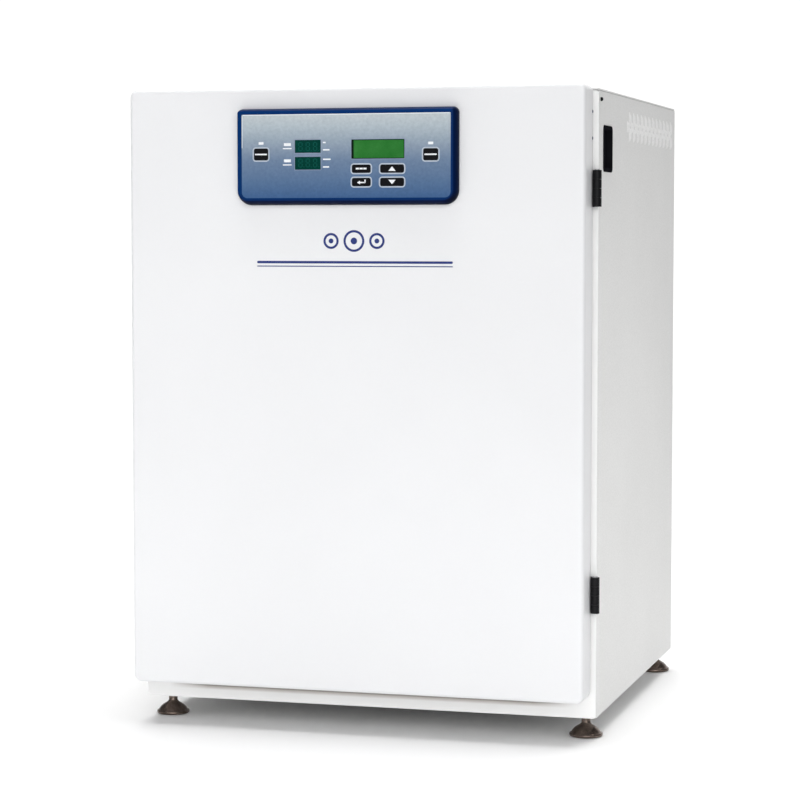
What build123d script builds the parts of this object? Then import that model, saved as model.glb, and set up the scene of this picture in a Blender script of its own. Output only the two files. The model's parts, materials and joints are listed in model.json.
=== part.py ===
"""Bench-top carbon dioxide incubator, about 170 litres.

Frame: millimetres, +Z up, +X to the user's right, the doors face -Y.  The
origin is on the floor, at the middle of the whole object's outline.
"""
import os

from build123d import *

os.makedirs("parts", exist_ok=True)

# ---------------------------------------------------------------- cabinet
CAB_W = 660.0
CAB_D = 612.0
CAB_H = 865.0
FOOT_H = 33.0
CAB_X = -2.0                      # the hinge barrels stand out on the right, the door edge on the left
FRONT_Y = -285.0                  # plane of the cabinet's front face
BACK_Y = FRONT_Y + CAB_D
BASE_Z = FOOT_H
TOP_Z = BASE_Z + CAB_H
SHEET = 1.5                       # painted steel panels
FRAME_T = 2.0                     # front frame plate
COVER_T = 2.5                     # top cover plate
FIT = 0.2                         # assembly gap between neighbouring panels
SEAM = 0.7                        # visible seam under the top cover
LEFT_X = CAB_X - CAB_W / 2
RIGHT_X = CAB_X + CAB_W / 2
PANEL_TOP = TOP_Z - COVER_T - SEAM

# ---------------------------------------------------------------- chamber
CH_W = 500.0
CH_H = 640.0
CH_D = 530.0
CH_T = 1.2                        # stainless sheet
CH_R = 20.0                       # coved inner corners
CH_Z0 = BASE_Z + 72.0
CH_Z1 = CH_Z0 + CH_H
CH_ZC = (CH_Z0 + CH_Z1) / 2
CH_Y0 = FRONT_Y + FRAME_T
CH_Y1 = FRONT_Y + CH_D
MAT_T = 1.5                       # silicone heater mats
BAY_Z = BASE_Z + 758.0            # floor of the electronics bay

# ---------------------------------------------------------------- outer door
DOOR_W = 654.85
DOOR_H = 841.0
DOOR_X0 = CAB_X - 331.85
DOOR_X1 = DOOR_X0 + DOOR_W
DOOR_Z0 = BASE_Z + 28.5
DOOR_Z1 = DOOR_Z0 + DOOR_H
DOOR_ZC = (DOOR_Z0 + DOOR_Z1) / 2
DOOR_XC = (DOOR_X0 + DOOR_X1) / 2
DOOR_GAP = 4.0                    # door's rear plane to the cabinet's front
DOOR_BACK_Y = FRONT_Y - DOOR_GAP
DOOR_FRONT_Y = FRONT_Y - 52.0
SKIN_T = 1.5
RECESS_Y = FRONT_Y - 28.0         # floor of the recess that takes the glass door
RECESS_X0 = CAB_X - 296.0
RECESS_X1 = CAB_X + 284.0
RECESS_Z0 = BASE_Z + 52.0
RECESS_Z1 = BASE_Z + 742.0
RECESS_R = 14.0
SEAL_W = 14.0

# ---------------------------------------------------------------- outer door hinges
HINGE_X = CAB_X + 329.75
HINGE_Y = FRONT_Y - 6.5
HINGE_R = 6.1
HINGE_PIN_R = 2.5
HINGE_BORE_R = 2.56
HINGE_H = 50.0
HINGE_ZS = (BASE_Z + 147.5, BASE_Z + 704.0)
KNUCKLE_H = HINGE_H / 4
KNUCKLE_GAP = 0.4
LEAF_T = 1.6
LEAF_X0 = CAB_X + 304.0
LEAF_X1 = CAB_X + 323.0

# ---------------------------------------------------------------- glass door
PANE_T = 5.0
PANE_Y = FRONT_Y - 6.3            # rear face of the pane
PANE_X0 = CAB_X - 266.0
PANE_X1 = CAB_X + 266.0
PANE_Z0 = BASE_Z + 58.0
PANE_Z1 = BASE_Z + 726.0
PANE_ZC = (PANE_Z0 + PANE_Z1) / 2
GLASS_HINGE_X = CAB_X + 274.0
GLASS_HINGE_Y = FRONT_Y - 9.0
GLASS_HINGE_R = 5.0
GLASS_PIN_R = 2.0
GLASS_BORE_R = 2.06
GLASS_HINGE_ZS = (BASE_Z + 150.0, BASE_Z + 634.0)
STRAP_H = 22.0
LATCH_X = CAB_X - 252.0
LATCH_Z = BASE_Z + 392.0

# ---------------------------------------------------------------- control pod on the door
POD_X0 = CAB_X - 168.4
POD_W = 316.9
POD_Z0 = BASE_Z + 707.0
POD_H = 133.0
POD_PROUD = 14.0
POD_WALL = 2.5
POD_FRONT_Y = DOOR_FRONT_Y - POD_PROUD
POD_XC = POD_X0 + POD_W / 2
POD_R_TOP = 8.0
POD_R_BOTTOM = 20.0
FILM_W = 299.6
FILM_Z0 = BASE_Z + 716.6
FILM_H = 115.2
FILM_T = 0.5
FILM_SUNK = 0.6                   # film floor below the pod's front edge
FILM_ZC = FILM_Z0 + FILM_H / 2
FILM_R_BOTTOM = 8.0
FILM_R_TOP = 1.0
SEAT_Y = POD_FRONT_Y + FILM_SUNK  # floor the film is stuck to
BOARD_Y = POD_FRONT_Y + 8.8       # front face of the display board
BOARD_T = 1.6
SWITCH_T = 1.5                    # tact switches on the board

# centre x (from CAB_X), centre z (from BASE_Z), width, height
LCD = (37.0, 783.1, 75.2, 26.0)
LED_WINDOWS = ((-63.5, 787.5, 37.0, 17.3), (-63.5, 764.3, 37.0, 17.1))
KEYS = {
    "key_left": (-131.3, 776.9, 20.2, 15.6),
    "key_right": (111.8, 775.2, 20.5, 15.6),
    "key_menu": (13.4, 756.3, 26.2, 10.6),
    "key_enter": (13.4, 738.1, 26.2, 10.6),
    "key_up": (57.3, 756.2, 33.2, 10.6),
    "key_down": (57.3, 738.0, 33.2, 10.6),
}
KEY_GAP = 0.4
KEY_R = 2.2
KEY_PROUD = 0.7

# ---------------------------------------------------------------- small things
FOOT_X = 308.0
FOOT_Y_FRONT = FRONT_Y + 43.0
FOOT_Y_REAR = FRONT_Y + 585.0
STEM_R = 5.0
STEM_BORE_R = 5.08
FOOT_RIM_R = 23.8

SWITCH_YC = FRONT_Y + 63.5        # power switch recess in the right panel
SWITCH_ZC = BASE_Z + 784.5
SWITCH_D = 63.0
SWITCH_H = 64.0
SWITCH_PROUD = 1.2
CUP_DEPTH = 15.0

FAN_X = CAB_X
FAN_Y = FRONT_Y + 300.0
SHAFT_R = 4.0
SHELF_ZS = {"shelf_lower": 190.0, "shelf_middle": 340.0, "shelf_upper": 490.0}
LEDGE_W = 15.0
PORT_X = CAB_X + 170.0
PORT_Z = BASE_Z + 600.0
PORT_R = 17.0

# ---------------------------------------------------------------- fittings
VENT_COLS = 12
VENT_PITCH = 31.5
VENT_Y0 = FRONT_Y + 224.0
SLOT_W = 5.0
INLET_X = CAB_X - 230.0
INLET_Z = BASE_Z + 800.0
GAS_X = CAB_X - 120.0
GAS_Z = BASE_Z + 800.0
SPIGOT_LENGTH = 24.6
SENSOR_X = CAB_X - 170.0
SENSOR_Y = FRONT_Y + 300.0
PROBE_XS = (CAB_X + 172.0, CAB_X + 205.0)
PROBE_Y = FRONT_Y + 300.0
PAN_X = 200.0
PAN_Y0 = FRONT_Y + 60.0
PAN_Y1 = FRONT_Y + 470.0
PAN_H = 32.0
DUCT_H = 52.0
DUCT_X = 150.0
DUCT_Y0 = FRONT_Y + 130.0
DUCT_Y1 = FRONT_Y + 470.0
FILTER_R = 70.0
FILTER_H = 36.0
VALVE_Y = BACK_Y - 90.0
TUBE_R = 3.0
INLET_CAVITY = (24.0, 16.5, 20.0)     # width, height, depth of the socket
ROCKER_X = RIGHT_X - CUP_DEPTH - 2
TRUNNION_R = 2.0                  # pivot stubs of the rocker
TRUNNION_SPAN = 25.6
GRIP_D = 24.0
GRIP_H = 130.0
GRIP_DEPTH = 17.0
GRIP_WALL = 1.6
GRIP_YC = (DOOR_FRONT_Y + DOOR_BACK_Y) / 2 - 1
GRIP_ZC = BASE_Z + 450.0
KEEPER_X1 = CAB_X - 270.0


def front(y):
    """Sketch plane facing the user at depth y; extruding goes towards -Y."""
    return Plane.XZ.offset(-y)


def side(x):
    """Sketch plane facing +X; its axes are Y and Z."""
    return Plane.YZ.offset(x)


def level(z):
    """Horizontal sketch plane at height z."""
    return Plane.XY.offset(z)


def block(x0, x1, y0, y1, z0, z1, mode=Mode.ADD):
    """A box between two limits on each axis, added to the part being built."""
    with Locations(((x0 + x1) / 2, (y0 + y1) / 2, (z0 + z1) / 2)):
        Box(x1 - x0, y1 - y0, z1 - z0, mode=mode)


def rod(centre, radius, length, axis="Z", mode=Mode.ADD):
    """A cylinder centred on a point, along one axis."""
    turn = {"X": (0, 90, 0), "Y": (90, 0, 0), "Z": (0, 0, 0)}[axis]
    with Locations(Location(centre, turn)):
        Cylinder(radius, length, mode=mode)


def save(builder, label):
    builder.part.label = label
    export_step(builder.part, f"parts/{label}.step")


# ================================================================ casing
def make_base_pan():
    x0, x1 = LEFT_X + SHEET + FIT, RIGHT_X - SHEET - FIT
    y0, y1 = FRONT_Y + FRAME_T + FIT, BACK_Y - SHEET - FIT
    flange, nut_r, nut_h = 22.0, 10.0, 12.0
    with BuildPart() as base:
        block(x0, x1, y0, y1, BASE_Z, BASE_Z + 2)
        for edge in (x0, x1 - SHEET):
            block(edge, edge + SHEET, y0 + 30, y1 - 30, BASE_Z, BASE_Z + flange)
        feet = [(CAB_X + sx * FOOT_X, y) for sx in (-1, 1) for y in (FOOT_Y_FRONT, FOOT_Y_REAR)]
        for x, y in feet:
            rod((x, y, BASE_Z + nut_h / 2), nut_r, nut_h)
            rod((x, y, BASE_Z + nut_h / 2), STEM_BORE_R, nut_h + 2, mode=Mode.SUBTRACT)
    save(base, "base_pan")


def make_side_panel(label, outer_x, inward, with_switch):
    """Folded panel: flat sheet, front and rear return flanges, three rows of vent slots."""
    x0, x1 = sorted((outer_x, outer_x + inward * SHEET))
    y0, y1 = FRONT_Y + FRAME_T + FIT, BACK_Y
    flange = 13.0
    f0, f1 = sorted((outer_x + inward * SHEET, outer_x + inward * (SHEET + flange)))
    rows = ((832.0, 20.0, 0.0), (821.0, 15.0, -0.5), (810.0, 20.0, 0.0))
    with BuildPart() as panel:
        block(x0, x1, y0, y1, BASE_Z, PANEL_TOP)
        block(f0, f1, y0, y0 + SHEET, BASE_Z + 26, PANEL_TOP - 20)
        with BuildSketch(side(x0 - 1)):
            for height, length, shift in rows:
                places = [(VENT_Y0 + (i + shift) * VENT_PITCH, BASE_Z + height) for i in range(VENT_COLS)]
                with Locations(*places):
                    SlotOverall(length, SLOT_W, rotation=90)
            if with_switch:
                with Locations((SWITCH_YC, SWITCH_ZC)):
                    RectangleRounded(SWITCH_D - 6, SWITCH_H - 6, 4)
        extrude(amount=SHEET + 2, mode=Mode.SUBTRACT)
        corner = panel.edges().filter_by(Axis.X).group_by(Axis.Z)[0]
        fillet(corner.sort_by(Axis.Y)[0], 4)
    save(panel, label)


def make_top_cover():
    with BuildPart() as cover:
        block(LEFT_X, RIGHT_X, FRONT_Y, BACK_Y, TOP_Z - COVER_T, TOP_Z)
        fillet(cover.edges().filter_by(Axis.Z), 4)
        fillet(cover.faces().sort_by(Axis.Z)[-1].edges(), 1)
        skirt = 16.0
        for x in (LEFT_X + SHEET + FIT, RIGHT_X - 2 * SHEET - FIT):
            block(x, x + SHEET, FRONT_Y + 30, BACK_Y - 20, TOP_Z - COVER_T - skirt, TOP_Z - COVER_T)
    save(cover, "top_cover")


def make_back_panel():
    x0, x1 = LEFT_X + SHEET + FIT, RIGHT_X - SHEET - FIT
    with BuildPart() as back:
        block(x0, x1, BACK_Y - SHEET, BACK_Y, BASE_Z + 2, PANEL_TOP)
        with BuildSketch(front(BACK_Y + 1)):
            with Locations((INLET_X, INLET_Z)):
                Rectangle(28.5, 28.5)
            with Locations((GAS_X, GAS_Z)):
                Circle(6.2)
            with Locations((PORT_X, PORT_Z)):
                Circle(PORT_R + 3.3)
            with Locations((CAB_X + 90, BASE_Z + 800)):
                with GridLocations(9, 34, 14, 2):
                    SlotOverall(26, 4, rotation=90)
        extrude(amount=SHEET + 2, mode=Mode.SUBTRACT)
    save(back, "back_panel")


def make_front_frame():
    with BuildPart() as frame:
        with BuildSketch(front(FRONT_Y + FRAME_T)):
            with Locations((CAB_X, (BASE_Z + PANEL_TOP) / 2)):
                RectangleRounded(CAB_W, PANEL_TOP - BASE_Z, 4)
            with Locations((CAB_X, CH_ZC)):
                RectangleRounded(CH_W, CH_H, CH_R, mode=Mode.SUBTRACT)
        extrude(amount=FRAME_T)
    save(frame, "front_frame")


# ================================================================ chamber
def make_inner_chamber():
    depth = CH_Y1 - CH_Y0
    flange_w = 22.0
    with BuildPart() as chamber:
        with BuildSketch(front(CH_Y1)):
            with Locations((CAB_X, CH_ZC)):
                RectangleRounded(CH_W + 2 * CH_T, CH_H + 2 * CH_T, CH_R + CH_T)
        extrude(amount=depth)
        with BuildSketch(front(CH_Y0 + CH_T)):
            with Locations((CAB_X, CH_ZC)):
                RectangleRounded(CH_W + 2 * flange_w, CH_H + 2 * flange_w, CH_R + 4)
        extrude(amount=CH_T)
        with BuildSketch(front(CH_Y1 - CH_T)):
            with Locations((CAB_X, CH_ZC)):
                RectangleRounded(CH_W, CH_H, CH_R)
        extrude(amount=depth, mode=Mode.SUBTRACT)
        rod((FAN_X, FAN_Y, CH_Z1), 6, 10, mode=Mode.SUBTRACT)
        rod((SENSOR_X, SENSOR_Y, CH_Z1), 12.7, 10, mode=Mode.SUBTRACT)
        for x in PROBE_XS:
            rod((x, PROBE_Y, CH_Z1), 3.2, 10, mode=Mode.SUBTRACT)
        rod((PORT_X, CH_Y1, PORT_Z), PORT_R + 3.2, 10, "Y", mode=Mode.SUBTRACT)
    save(chamber, "inner_chamber")


def make_insulation_boards():
    """Five mineral-wool boards round the chamber, one solid each."""
    inner_x = CH_W / 2 + CH_T + FIT + MAT_T + FIT
    low, high = BASE_Z + 2.5, BAY_Z - 4
    bottom_top = CH_Z0 - CH_T - 2 * FIT - MAT_T
    top_bottom = CH_Z1 + CH_T + 2 * FIT + MAT_T
    y0, y1 = CH_Y0 + CH_T + 0.8, CH_Y1 + 45
    back_y = CH_Y1 + 2 * FIT + MAT_T
    outer = CAB_W / 2 - SHEET - 3 * FIT
    foot_well = 46.0
    with BuildPart() as boards:
        for sign in (-1, 1):
            x0, x1 = sorted((CAB_X + sign * inner_x, CAB_X + sign * outer))
            block(x0, x1, y0 + SHEET, y1, low, high)
            edge = CAB_X + sign * outer
            e0, e1 = sorted((edge, edge - sign * foot_well))
            for y in (FOOT_Y_FRONT, FOOT_Y_REAR):
                block(e0, e1, y - 30, y + 30, low, low + 30, mode=Mode.SUBTRACT)
            rim0, rim1 = sorted((edge, edge - sign * 3))
            block(rim0, rim1, y0 - 1, y1 + 1, low, low + 24, mode=Mode.SUBTRACT)
            if sign > 0:
                block(edge - 14, edge, y0, y0 + 8, low, high, mode=Mode.SUBTRACT)
            else:
                block(edge, edge + 14, y0, y0 + 8, low, high, mode=Mode.SUBTRACT)
        span = inner_x - 0.5
        block(CAB_X - span, CAB_X + span, y0 + SHEET, y1, low, bottom_top)
        block(CAB_X - span, CAB_X + span, y0 + SHEET, y1, top_bottom, high)
        block(CAB_X - span, CAB_X + span, back_y, y1, bottom_top + 0.5, top_bottom - 0.5)
        tall = high - CH_Z1 + 20
        mid = (high + CH_Z1) / 2
        rod((FAN_X, FAN_Y, mid), 9, tall, mode=Mode.SUBTRACT)
        rod((SENSOR_X, SENSOR_Y, mid), 14, tall, mode=Mode.SUBTRACT)
        for x in PROBE_XS:
            rod((x, PROBE_Y, mid), 4.5, tall, mode=Mode.SUBTRACT)
        rod((PORT_X, y1, PORT_Z), PORT_R + 4, 120, "Y", mode=Mode.SUBTRACT)
        rod((CAB_X - 200, CH_Y1 - 60, mid), 5, tall, mode=Mode.SUBTRACT)
    save(boards, "insulation_boards")


def make_chamber_heaters():
    """Five silicone heater mats bonded outside the chamber's walls."""
    half = CH_W / 2 + CH_T
    margin = 45.0
    y0, y1 = CH_Y0 + margin, CH_Y1 - margin
    with BuildPart() as mats:
        for sign in (-1, 1):
            x0, x1 = sorted((CAB_X + sign * (half + FIT), CAB_X + sign * (half + FIT + MAT_T)))
            block(x0, x1, y0, y1, CH_Z0 + margin, CH_Z1 - margin)
        wide = half - margin
        low = CH_Z0 - CH_T - FIT
        block(CAB_X - wide, CAB_X + wide, y0, y1, low - MAT_T, low)
        high = CH_Z1 + CH_T + FIT
        block(CAB_X - wide, CAB_X + wide, y0, FAN_Y - 40, high, high + MAT_T)
        block(CAB_X - wide, CAB_X + wide, FAN_Y + 40, y1, high, high + MAT_T)
        rod((CAB_X - 200, CH_Y1 - 60, high), 5, 8, mode=Mode.SUBTRACT)
        block(CAB_X - wide, CAB_X + 100, CH_Y1 + FIT, CH_Y1 + FIT + MAT_T, CH_Z0 + margin, CH_Z1 - margin)
    save(mats, "chamber_heaters")


def make_ring(label, xc, zc, inner_w, inner_h, band, inner_r, y_back, thickness):
    """A flat rounded-rectangle ring lying in a front plane."""
    with BuildPart() as ring:
        with BuildSketch(front(y_back)):
            with Locations((xc, zc)):
                RectangleRounded(inner_w + 2 * band, inner_h + 2 * band, inner_r + band)
                RectangleRounded(inner_w, inner_h, inner_r, mode=Mode.SUBTRACT)
        extrude(amount=thickness)
        rim = ring.faces().sort_by(Axis.Y)[0].edges()
        fillet(rim, min(band, thickness) * 0.35)
    save(ring, label)


def make_shelf_racks():
    """Left and right racks: two uprights and three ledges each."""
    upright_w, upright_t, ledge_t, lip = 20.0, 2.5, 1.5, 5.0
    z0, z1 = CH_Z0 + CH_R + 4, CH_Z1 - CH_R - 40
    with BuildPart() as racks:
        for sign in (-1, 1):
            wall = CAB_X + sign * CH_W / 2
            x0, x1 = sorted((wall, wall - sign * upright_t))
            for y in (FRONT_Y + 70, FRONT_Y + 440):
                block(x0, x1, y, y + upright_w, z0, z1)
            x0, x1 = sorted((wall - sign * 1, wall - sign * (upright_t + LEDGE_W)))
            for height in SHELF_ZS.values():
                top = BASE_Z + height
                block(x0, x1, FRONT_Y + 40, FRONT_Y + 490, top - ledge_t, top)
                l0, l1 = sorted((wall - sign * 1, wall - sign * (upright_t + ledge_t)))
                block(l0, l1, FRONT_Y + 40, FRONT_Y + 490, top - ledge_t, top + lip)
    save(racks, "shelf_racks")


def make_shelf(label, height):
    """Slotted stainless shelf with hemmed front and rear edges."""
    top = BASE_Z + height + FIT
    x0, x1 = CAB_X - CH_W / 2 + 6, CAB_X + CH_W / 2 - 6
    y0, y1 = FRONT_Y + 36, FRONT_Y + 494
    clear = CH_W / 2 - LEDGE_W - 8
    with BuildPart() as shelf:
        block(x0, x1, y0, y1, top, top + SHEET)
        for y in (y0, y1 - SHEET):
            block(CAB_X - clear, CAB_X + clear, y, y + SHEET, top - 12, top + SHEET)
        with BuildSketch(level(top - 1)):
            with Locations((CAB_X, (y0 + y1) / 2)):
                with GridLocations(40, 18, 10, 22):
                    SlotOverall(30, 7)
        extrude(amount=SHEET + 2, mode=Mode.SUBTRACT)
    save(shelf, label)


def make_humidity_pan():
    x0, x1 = CAB_X - PAN_X, CAB_X + PAN_X
    z0 = CH_Z0 + FIT
    rim = 8.0
    with BuildPart() as pan:
        block(x0, x1, PAN_Y0, PAN_Y1, z0, z0 + PAN_H)
        fillet(pan.edges().filter_by(Axis.Z), 15)
        pan_top = pan.faces().sort_by(Axis.Z)[-1]
        offset(amount=-CH_T, openings=pan_top)
        with BuildSketch(level(z0 + PAN_H - CH_T)):
            with Locations((CAB_X, (PAN_Y0 + PAN_Y1) / 2)):
                RectangleRounded(2 * (PAN_X + rim), PAN_Y1 - PAN_Y0 + 2 * rim, 15 + rim)
                RectangleRounded(2 * (PAN_X - CH_T), PAN_Y1 - PAN_Y0 - 2 * CH_T, 13, mode=Mode.SUBTRACT)
        extrude(amount=CH_T)
    save(pan, "humidity_pan")


def make_air_duct():
    """Open-topped tray under the ceiling, with an inlet above the filter and outlet slots."""
    z0 = CH_Z1 - DUCT_H
    with BuildPart() as duct:
        block(CAB_X - DUCT_X, CAB_X + DUCT_X, DUCT_Y0, DUCT_Y1, z0, CH_Z1)
        duct_top = duct.faces().sort_by(Axis.Z)[-1]
        offset(amount=-CH_T, openings=duct_top)
        rod((FAN_X, FAN_Y, z0), 48, 10, mode=Mode.SUBTRACT)
        with BuildSketch(side(CAB_X - DUCT_X - 1)):
            with Locations((FAN_Y, z0 + 28)):
                with GridLocations(24, 0, 11, 1):
                    SlotOverall(30, 10, rotation=90)
        extrude(amount=2 * DUCT_X + 2, mode=Mode.SUBTRACT)
    save(duct, "air_duct")


def make_hepa_filter():
    """Round pleated intake filter: end caps and a fluted cartridge."""
    top = CH_Z1 - DUCT_H - FIT
    pleats = 36
    with BuildPart() as filter_unit:
        with BuildSketch(level(top - FILTER_H)):
            with Locations((FAN_X, FAN_Y)):
                Circle(FILTER_R - 5)
                with PolarLocations(FILTER_R - 5, pleats):
                    Circle(3.2)
                Circle(38, mode=Mode.SUBTRACT)
        extrude(amount=FILTER_H)
        rod((FAN_X, FAN_Y, top - 3), FILTER_R, 6)
        rod((FAN_X, FAN_Y, top - 3), 44, 8, mode=Mode.SUBTRACT)
        rod((FAN_X, FAN_Y, top - FILTER_H + 2.5), FILTER_R, 5)
    save(filter_unit, "hepa_filter")


def make_fan_motor():
    z0 = BAY_Z - 3.8
    with BuildPart() as motor:
        block(FAN_X - 50, FAN_X + 50, FAN_Y - 50, FAN_Y + 50, z0, z0 + 3)
        rod((FAN_X, FAN_Y, z0 + 3 + 24), 40, 48)
        fillet(motor.faces().sort_by(Axis.Z)[-1].edges(), 5)
        block(FAN_X + 30, FAN_X + 58, FAN_Y - 12, FAN_Y + 12, z0 + 3, z0 + 28)
        rod((FAN_X, FAN_Y, z0 + 10), SHAFT_R + 0.06, 60, mode=Mode.SUBTRACT)
    save(motor, "fan_motor")


def make_fan_impeller():
    """Backward-curved wheel with twelve blades on its motor shaft."""
    z0 = CH_Z1 - DUCT_H + 8
    blade_h, blades, wheel_r = 28.0, 12, 58.0
    with BuildPart() as wheel:
        rod((FAN_X, FAN_Y, z0 + blade_h + 1), wheel_r, 2)
        rod((FAN_X, FAN_Y, z0 + blade_h / 2), 12, blade_h)
        with BuildSketch(level(z0)):
            with Locations((FAN_X, FAN_Y)):
                with PolarLocations(42, blades):
                    Rectangle(30, 1.6, rotation=35)
        extrude(amount=blade_h)
        shaft_top = BAY_Z + 25
        rod((FAN_X, FAN_Y, (z0 + shaft_top) / 2), SHAFT_R, shaft_top - z0)
    save(wheel, "fan_impeller")


def make_co2_sensor():
    with BuildPart() as sensor:
        rod((SENSOR_X, SENSOR_Y, CH_Z1 + 15), 12.5, 90)
        rod((SENSOR_X, SENSOR_Y, CH_Z1 + 54), 18, 12)
        fillet(sensor.faces().sort_by(Axis.Z)[0].edges(), 3)
        with BuildSketch(Plane.XZ.offset(-SENSOR_Y - 20)):
            with Locations((SENSOR_X, CH_Z1 - 18)):
                with GridLocations(5, 0, 3, 1):
                    SlotOverall(14, 2.4, rotation=90)
        extrude(amount=15, mode=Mode.SUBTRACT)
    save(sensor, "co2_sensor")


def make_temperature_probes():
    """Control and over-temperature probes, hanging from the ceiling."""
    with BuildPart() as probes:
        for x in PROBE_XS:
            rod((x, PROBE_Y, CH_Z1 + 5), 3, 130)
            rod((x, PROBE_Y, CH_Z1 + 52), 6, 14)
        fillet(probes.faces().group_by(Axis.Z)[0].edges(), 2)
    save(probes, "temperature_probes")


def make_access_port():
    y0, y1 = CH_Y1 - CH_T - 2, BACK_Y + 8
    with BuildPart() as port:
        rod((PORT_X, (y0 + y1) / 2, PORT_Z), PORT_R + 3, y1 - y0, "Y")
        rod((PORT_X, BACK_Y + 4.1, PORT_Z), PORT_R + 10, 7.8, "Y")
        rod((PORT_X, (y0 + y1) / 2, PORT_Z), PORT_R, y1 - y0 + 4, "Y", mode=Mode.SUBTRACT)
        fillet(port.faces().sort_by(Axis.Y)[-1].edges().sort_by(SortBy.RADIUS)[-1], 1.5)
    save(port, "access_port")


def make_port_plug():
    """Silicone stopper with a pull flange, in the rear mouth of the port."""
    with BuildPart() as plug:
        with BuildSketch(Plane.XZ.offset(-(BACK_Y + 8.3))):
            with Locations((PORT_X, PORT_Z)):
                Circle(PORT_R - 0.3)
        extrude(amount=45, taper=1.0)
        rod((PORT_X, BACK_Y + 11.3, PORT_Z), PORT_R + 5, 6, "Y")
        rim = plug.faces().sort_by(Axis.Y)[-1].edges()
        fillet(rim, 2)
    save(plug, "port_plug")


# ================================================================ electronics bay
def make_control_board():
    z0 = BAY_Z + 3
    x0, y0 = CAB_X + 110.0, FRONT_Y + 60.0
    w, d = 180.0, 130.0
    with BuildPart() as board:
        block(x0, x0 + w, y0, y0 + d, z0, z0 + 1.6)
        with Locations((x0 + w / 2, y0 + d / 2, z0 - 3.5)):
            with GridLocations(w - 16, d - 16, 2, 2):
                Cylinder(3, 7)
        chips = ((30, 30, 28, 28, 4), (90, 35, 40, 22, 16), (145, 35, 34, 30, 22),
                 (40, 90, 50, 16, 12), (110, 95, 24, 24, 18), (150, 95, 20, 34, 26))
        for cx, cy, cw, cd, ch in chips:
            block(x0 + cx - cw / 2, x0 + cx + cw / 2, y0 + cy - cd / 2, y0 + cy + cd / 2, z0 + 1.6, z0 + 1.6 + ch)
    save(board, "control_board")


def make_power_supply():
    x0, y0, z0 = CAB_X - 300.0, FRONT_Y + 60.0, BAY_Z - 3.8
    w, d, h = 150.0, 110.0, 48.0
    with BuildPart() as supply:
        block(x0, x0 + w, y0, y0 + d, z0, z0 + h)
        with BuildSketch(level(z0 + h - 3)):
            with Locations((x0 + w / 2, y0 + d / 2)):
                with GridLocations(12, 12, 11, 7):
                    Circle(3)
        extrude(amount=5, mode=Mode.SUBTRACT)
    save(supply, "power_supply")


def make_gas_valve():
    """Solenoid valve: brass-ported body with its coil on top."""
    z0 = BAY_Z + 2
    with BuildPart() as valve:
        block(GAS_X - 14, GAS_X + 14, VALVE_Y - 18, VALVE_Y + 18, z0, z0 + 24)
        rod((GAS_X, VALVE_Y, GAS_Z), 7, 52, "Y")
        rod((GAS_X, VALVE_Y, z0 + 39), 14, 30)
        rod((GAS_X, VALVE_Y, z0 + 57), 5, 8)
        block(GAS_X - 4, GAS_X + 4, VALVE_Y - 14, VALVE_Y + 14, z0 - 5.8, z0)
    save(valve, "gas_valve")


def make_gas_tube():
    """Silicone gas line from the valve down into the chamber's rear ceiling."""
    start_y = VALVE_Y - 26.2
    end_x, end_y = CAB_X - 200.0, CH_Y1 - 60.0
    turn_y = start_y - 42.0
    with BuildPart() as tube:
        with BuildLine() as route:
            FilletPolyline(
                (GAS_X, start_y, GAS_Z),
                (GAS_X, turn_y, GAS_Z),
                (end_x, end_y - 15, GAS_Z),
                (end_x, end_y, GAS_Z - 40),
                (end_x, end_y, CH_Z1 + 6),
                radius=12,
            )
        with BuildSketch(Plane(origin=route.line @ 0, z_dir=route.line % 0)):
            Circle(TUBE_R)
        sweep()
    save(tube, "gas_tube")


def make_gas_inlet():
    """Bulkhead fitting with a hose spigot behind the cabinet."""
    inner_y = VALVE_Y + 26.2
    spigot_end = BACK_Y + SPIGOT_LENGTH
    with BuildPart() as inlet:
        rod((GAS_X, (inner_y + BACK_Y) / 2, GAS_Z), 6, BACK_Y - inner_y, "Y")
        with BuildSketch(front(BACK_Y + 5)):
            with Locations((GAS_X, GAS_Z)):
                RegularPolygon(10, 6)
        extrude(amount=5)
        rod((GAS_X, (BACK_Y + 5 + spigot_end) / 2, GAS_Z), 4, spigot_end - BACK_Y - 5, "Y")
        rod((GAS_X, BACK_Y, GAS_Z), 2, 200, "Y", mode=Mode.SUBTRACT)
    save(inlet, "gas_inlet")


def make_mains_inlet():
    """Three-pin appliance inlet with its mounting flange."""
    w, h, depth = INLET_CAVITY
    with BuildPart() as inlet:
        block(INLET_X - 14, INLET_X + 14, BACK_Y - 26, BACK_Y + 2, INLET_Z - 14, INLET_Z + 14)
        with BuildSketch(front(BACK_Y + 2.5)):
            with Locations((INLET_X, INLET_Z)):
                RectangleRounded(50, 32, 4)
                with GridLocations(40, 0, 2, 1):
                    Circle(1.8, mode=Mode.SUBTRACT)
        extrude(amount=2.3)
        block(INLET_X - w / 2, INLET_X + w / 2, BACK_Y + 2.5 - depth, BACK_Y + 3,
              INLET_Z - h / 2, INLET_Z + h / 2, mode=Mode.SUBTRACT)
        for dx, dz in ((-7, -2), (7, -2), (0, 3)):
            x, z = INLET_X + dx, INLET_Z + dz
            block(x - 1, x + 1, BACK_Y + 1.5 - depth, BACK_Y - 4, z - 2, z + 2)
    save(inlet, "mains_inlet")


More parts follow.
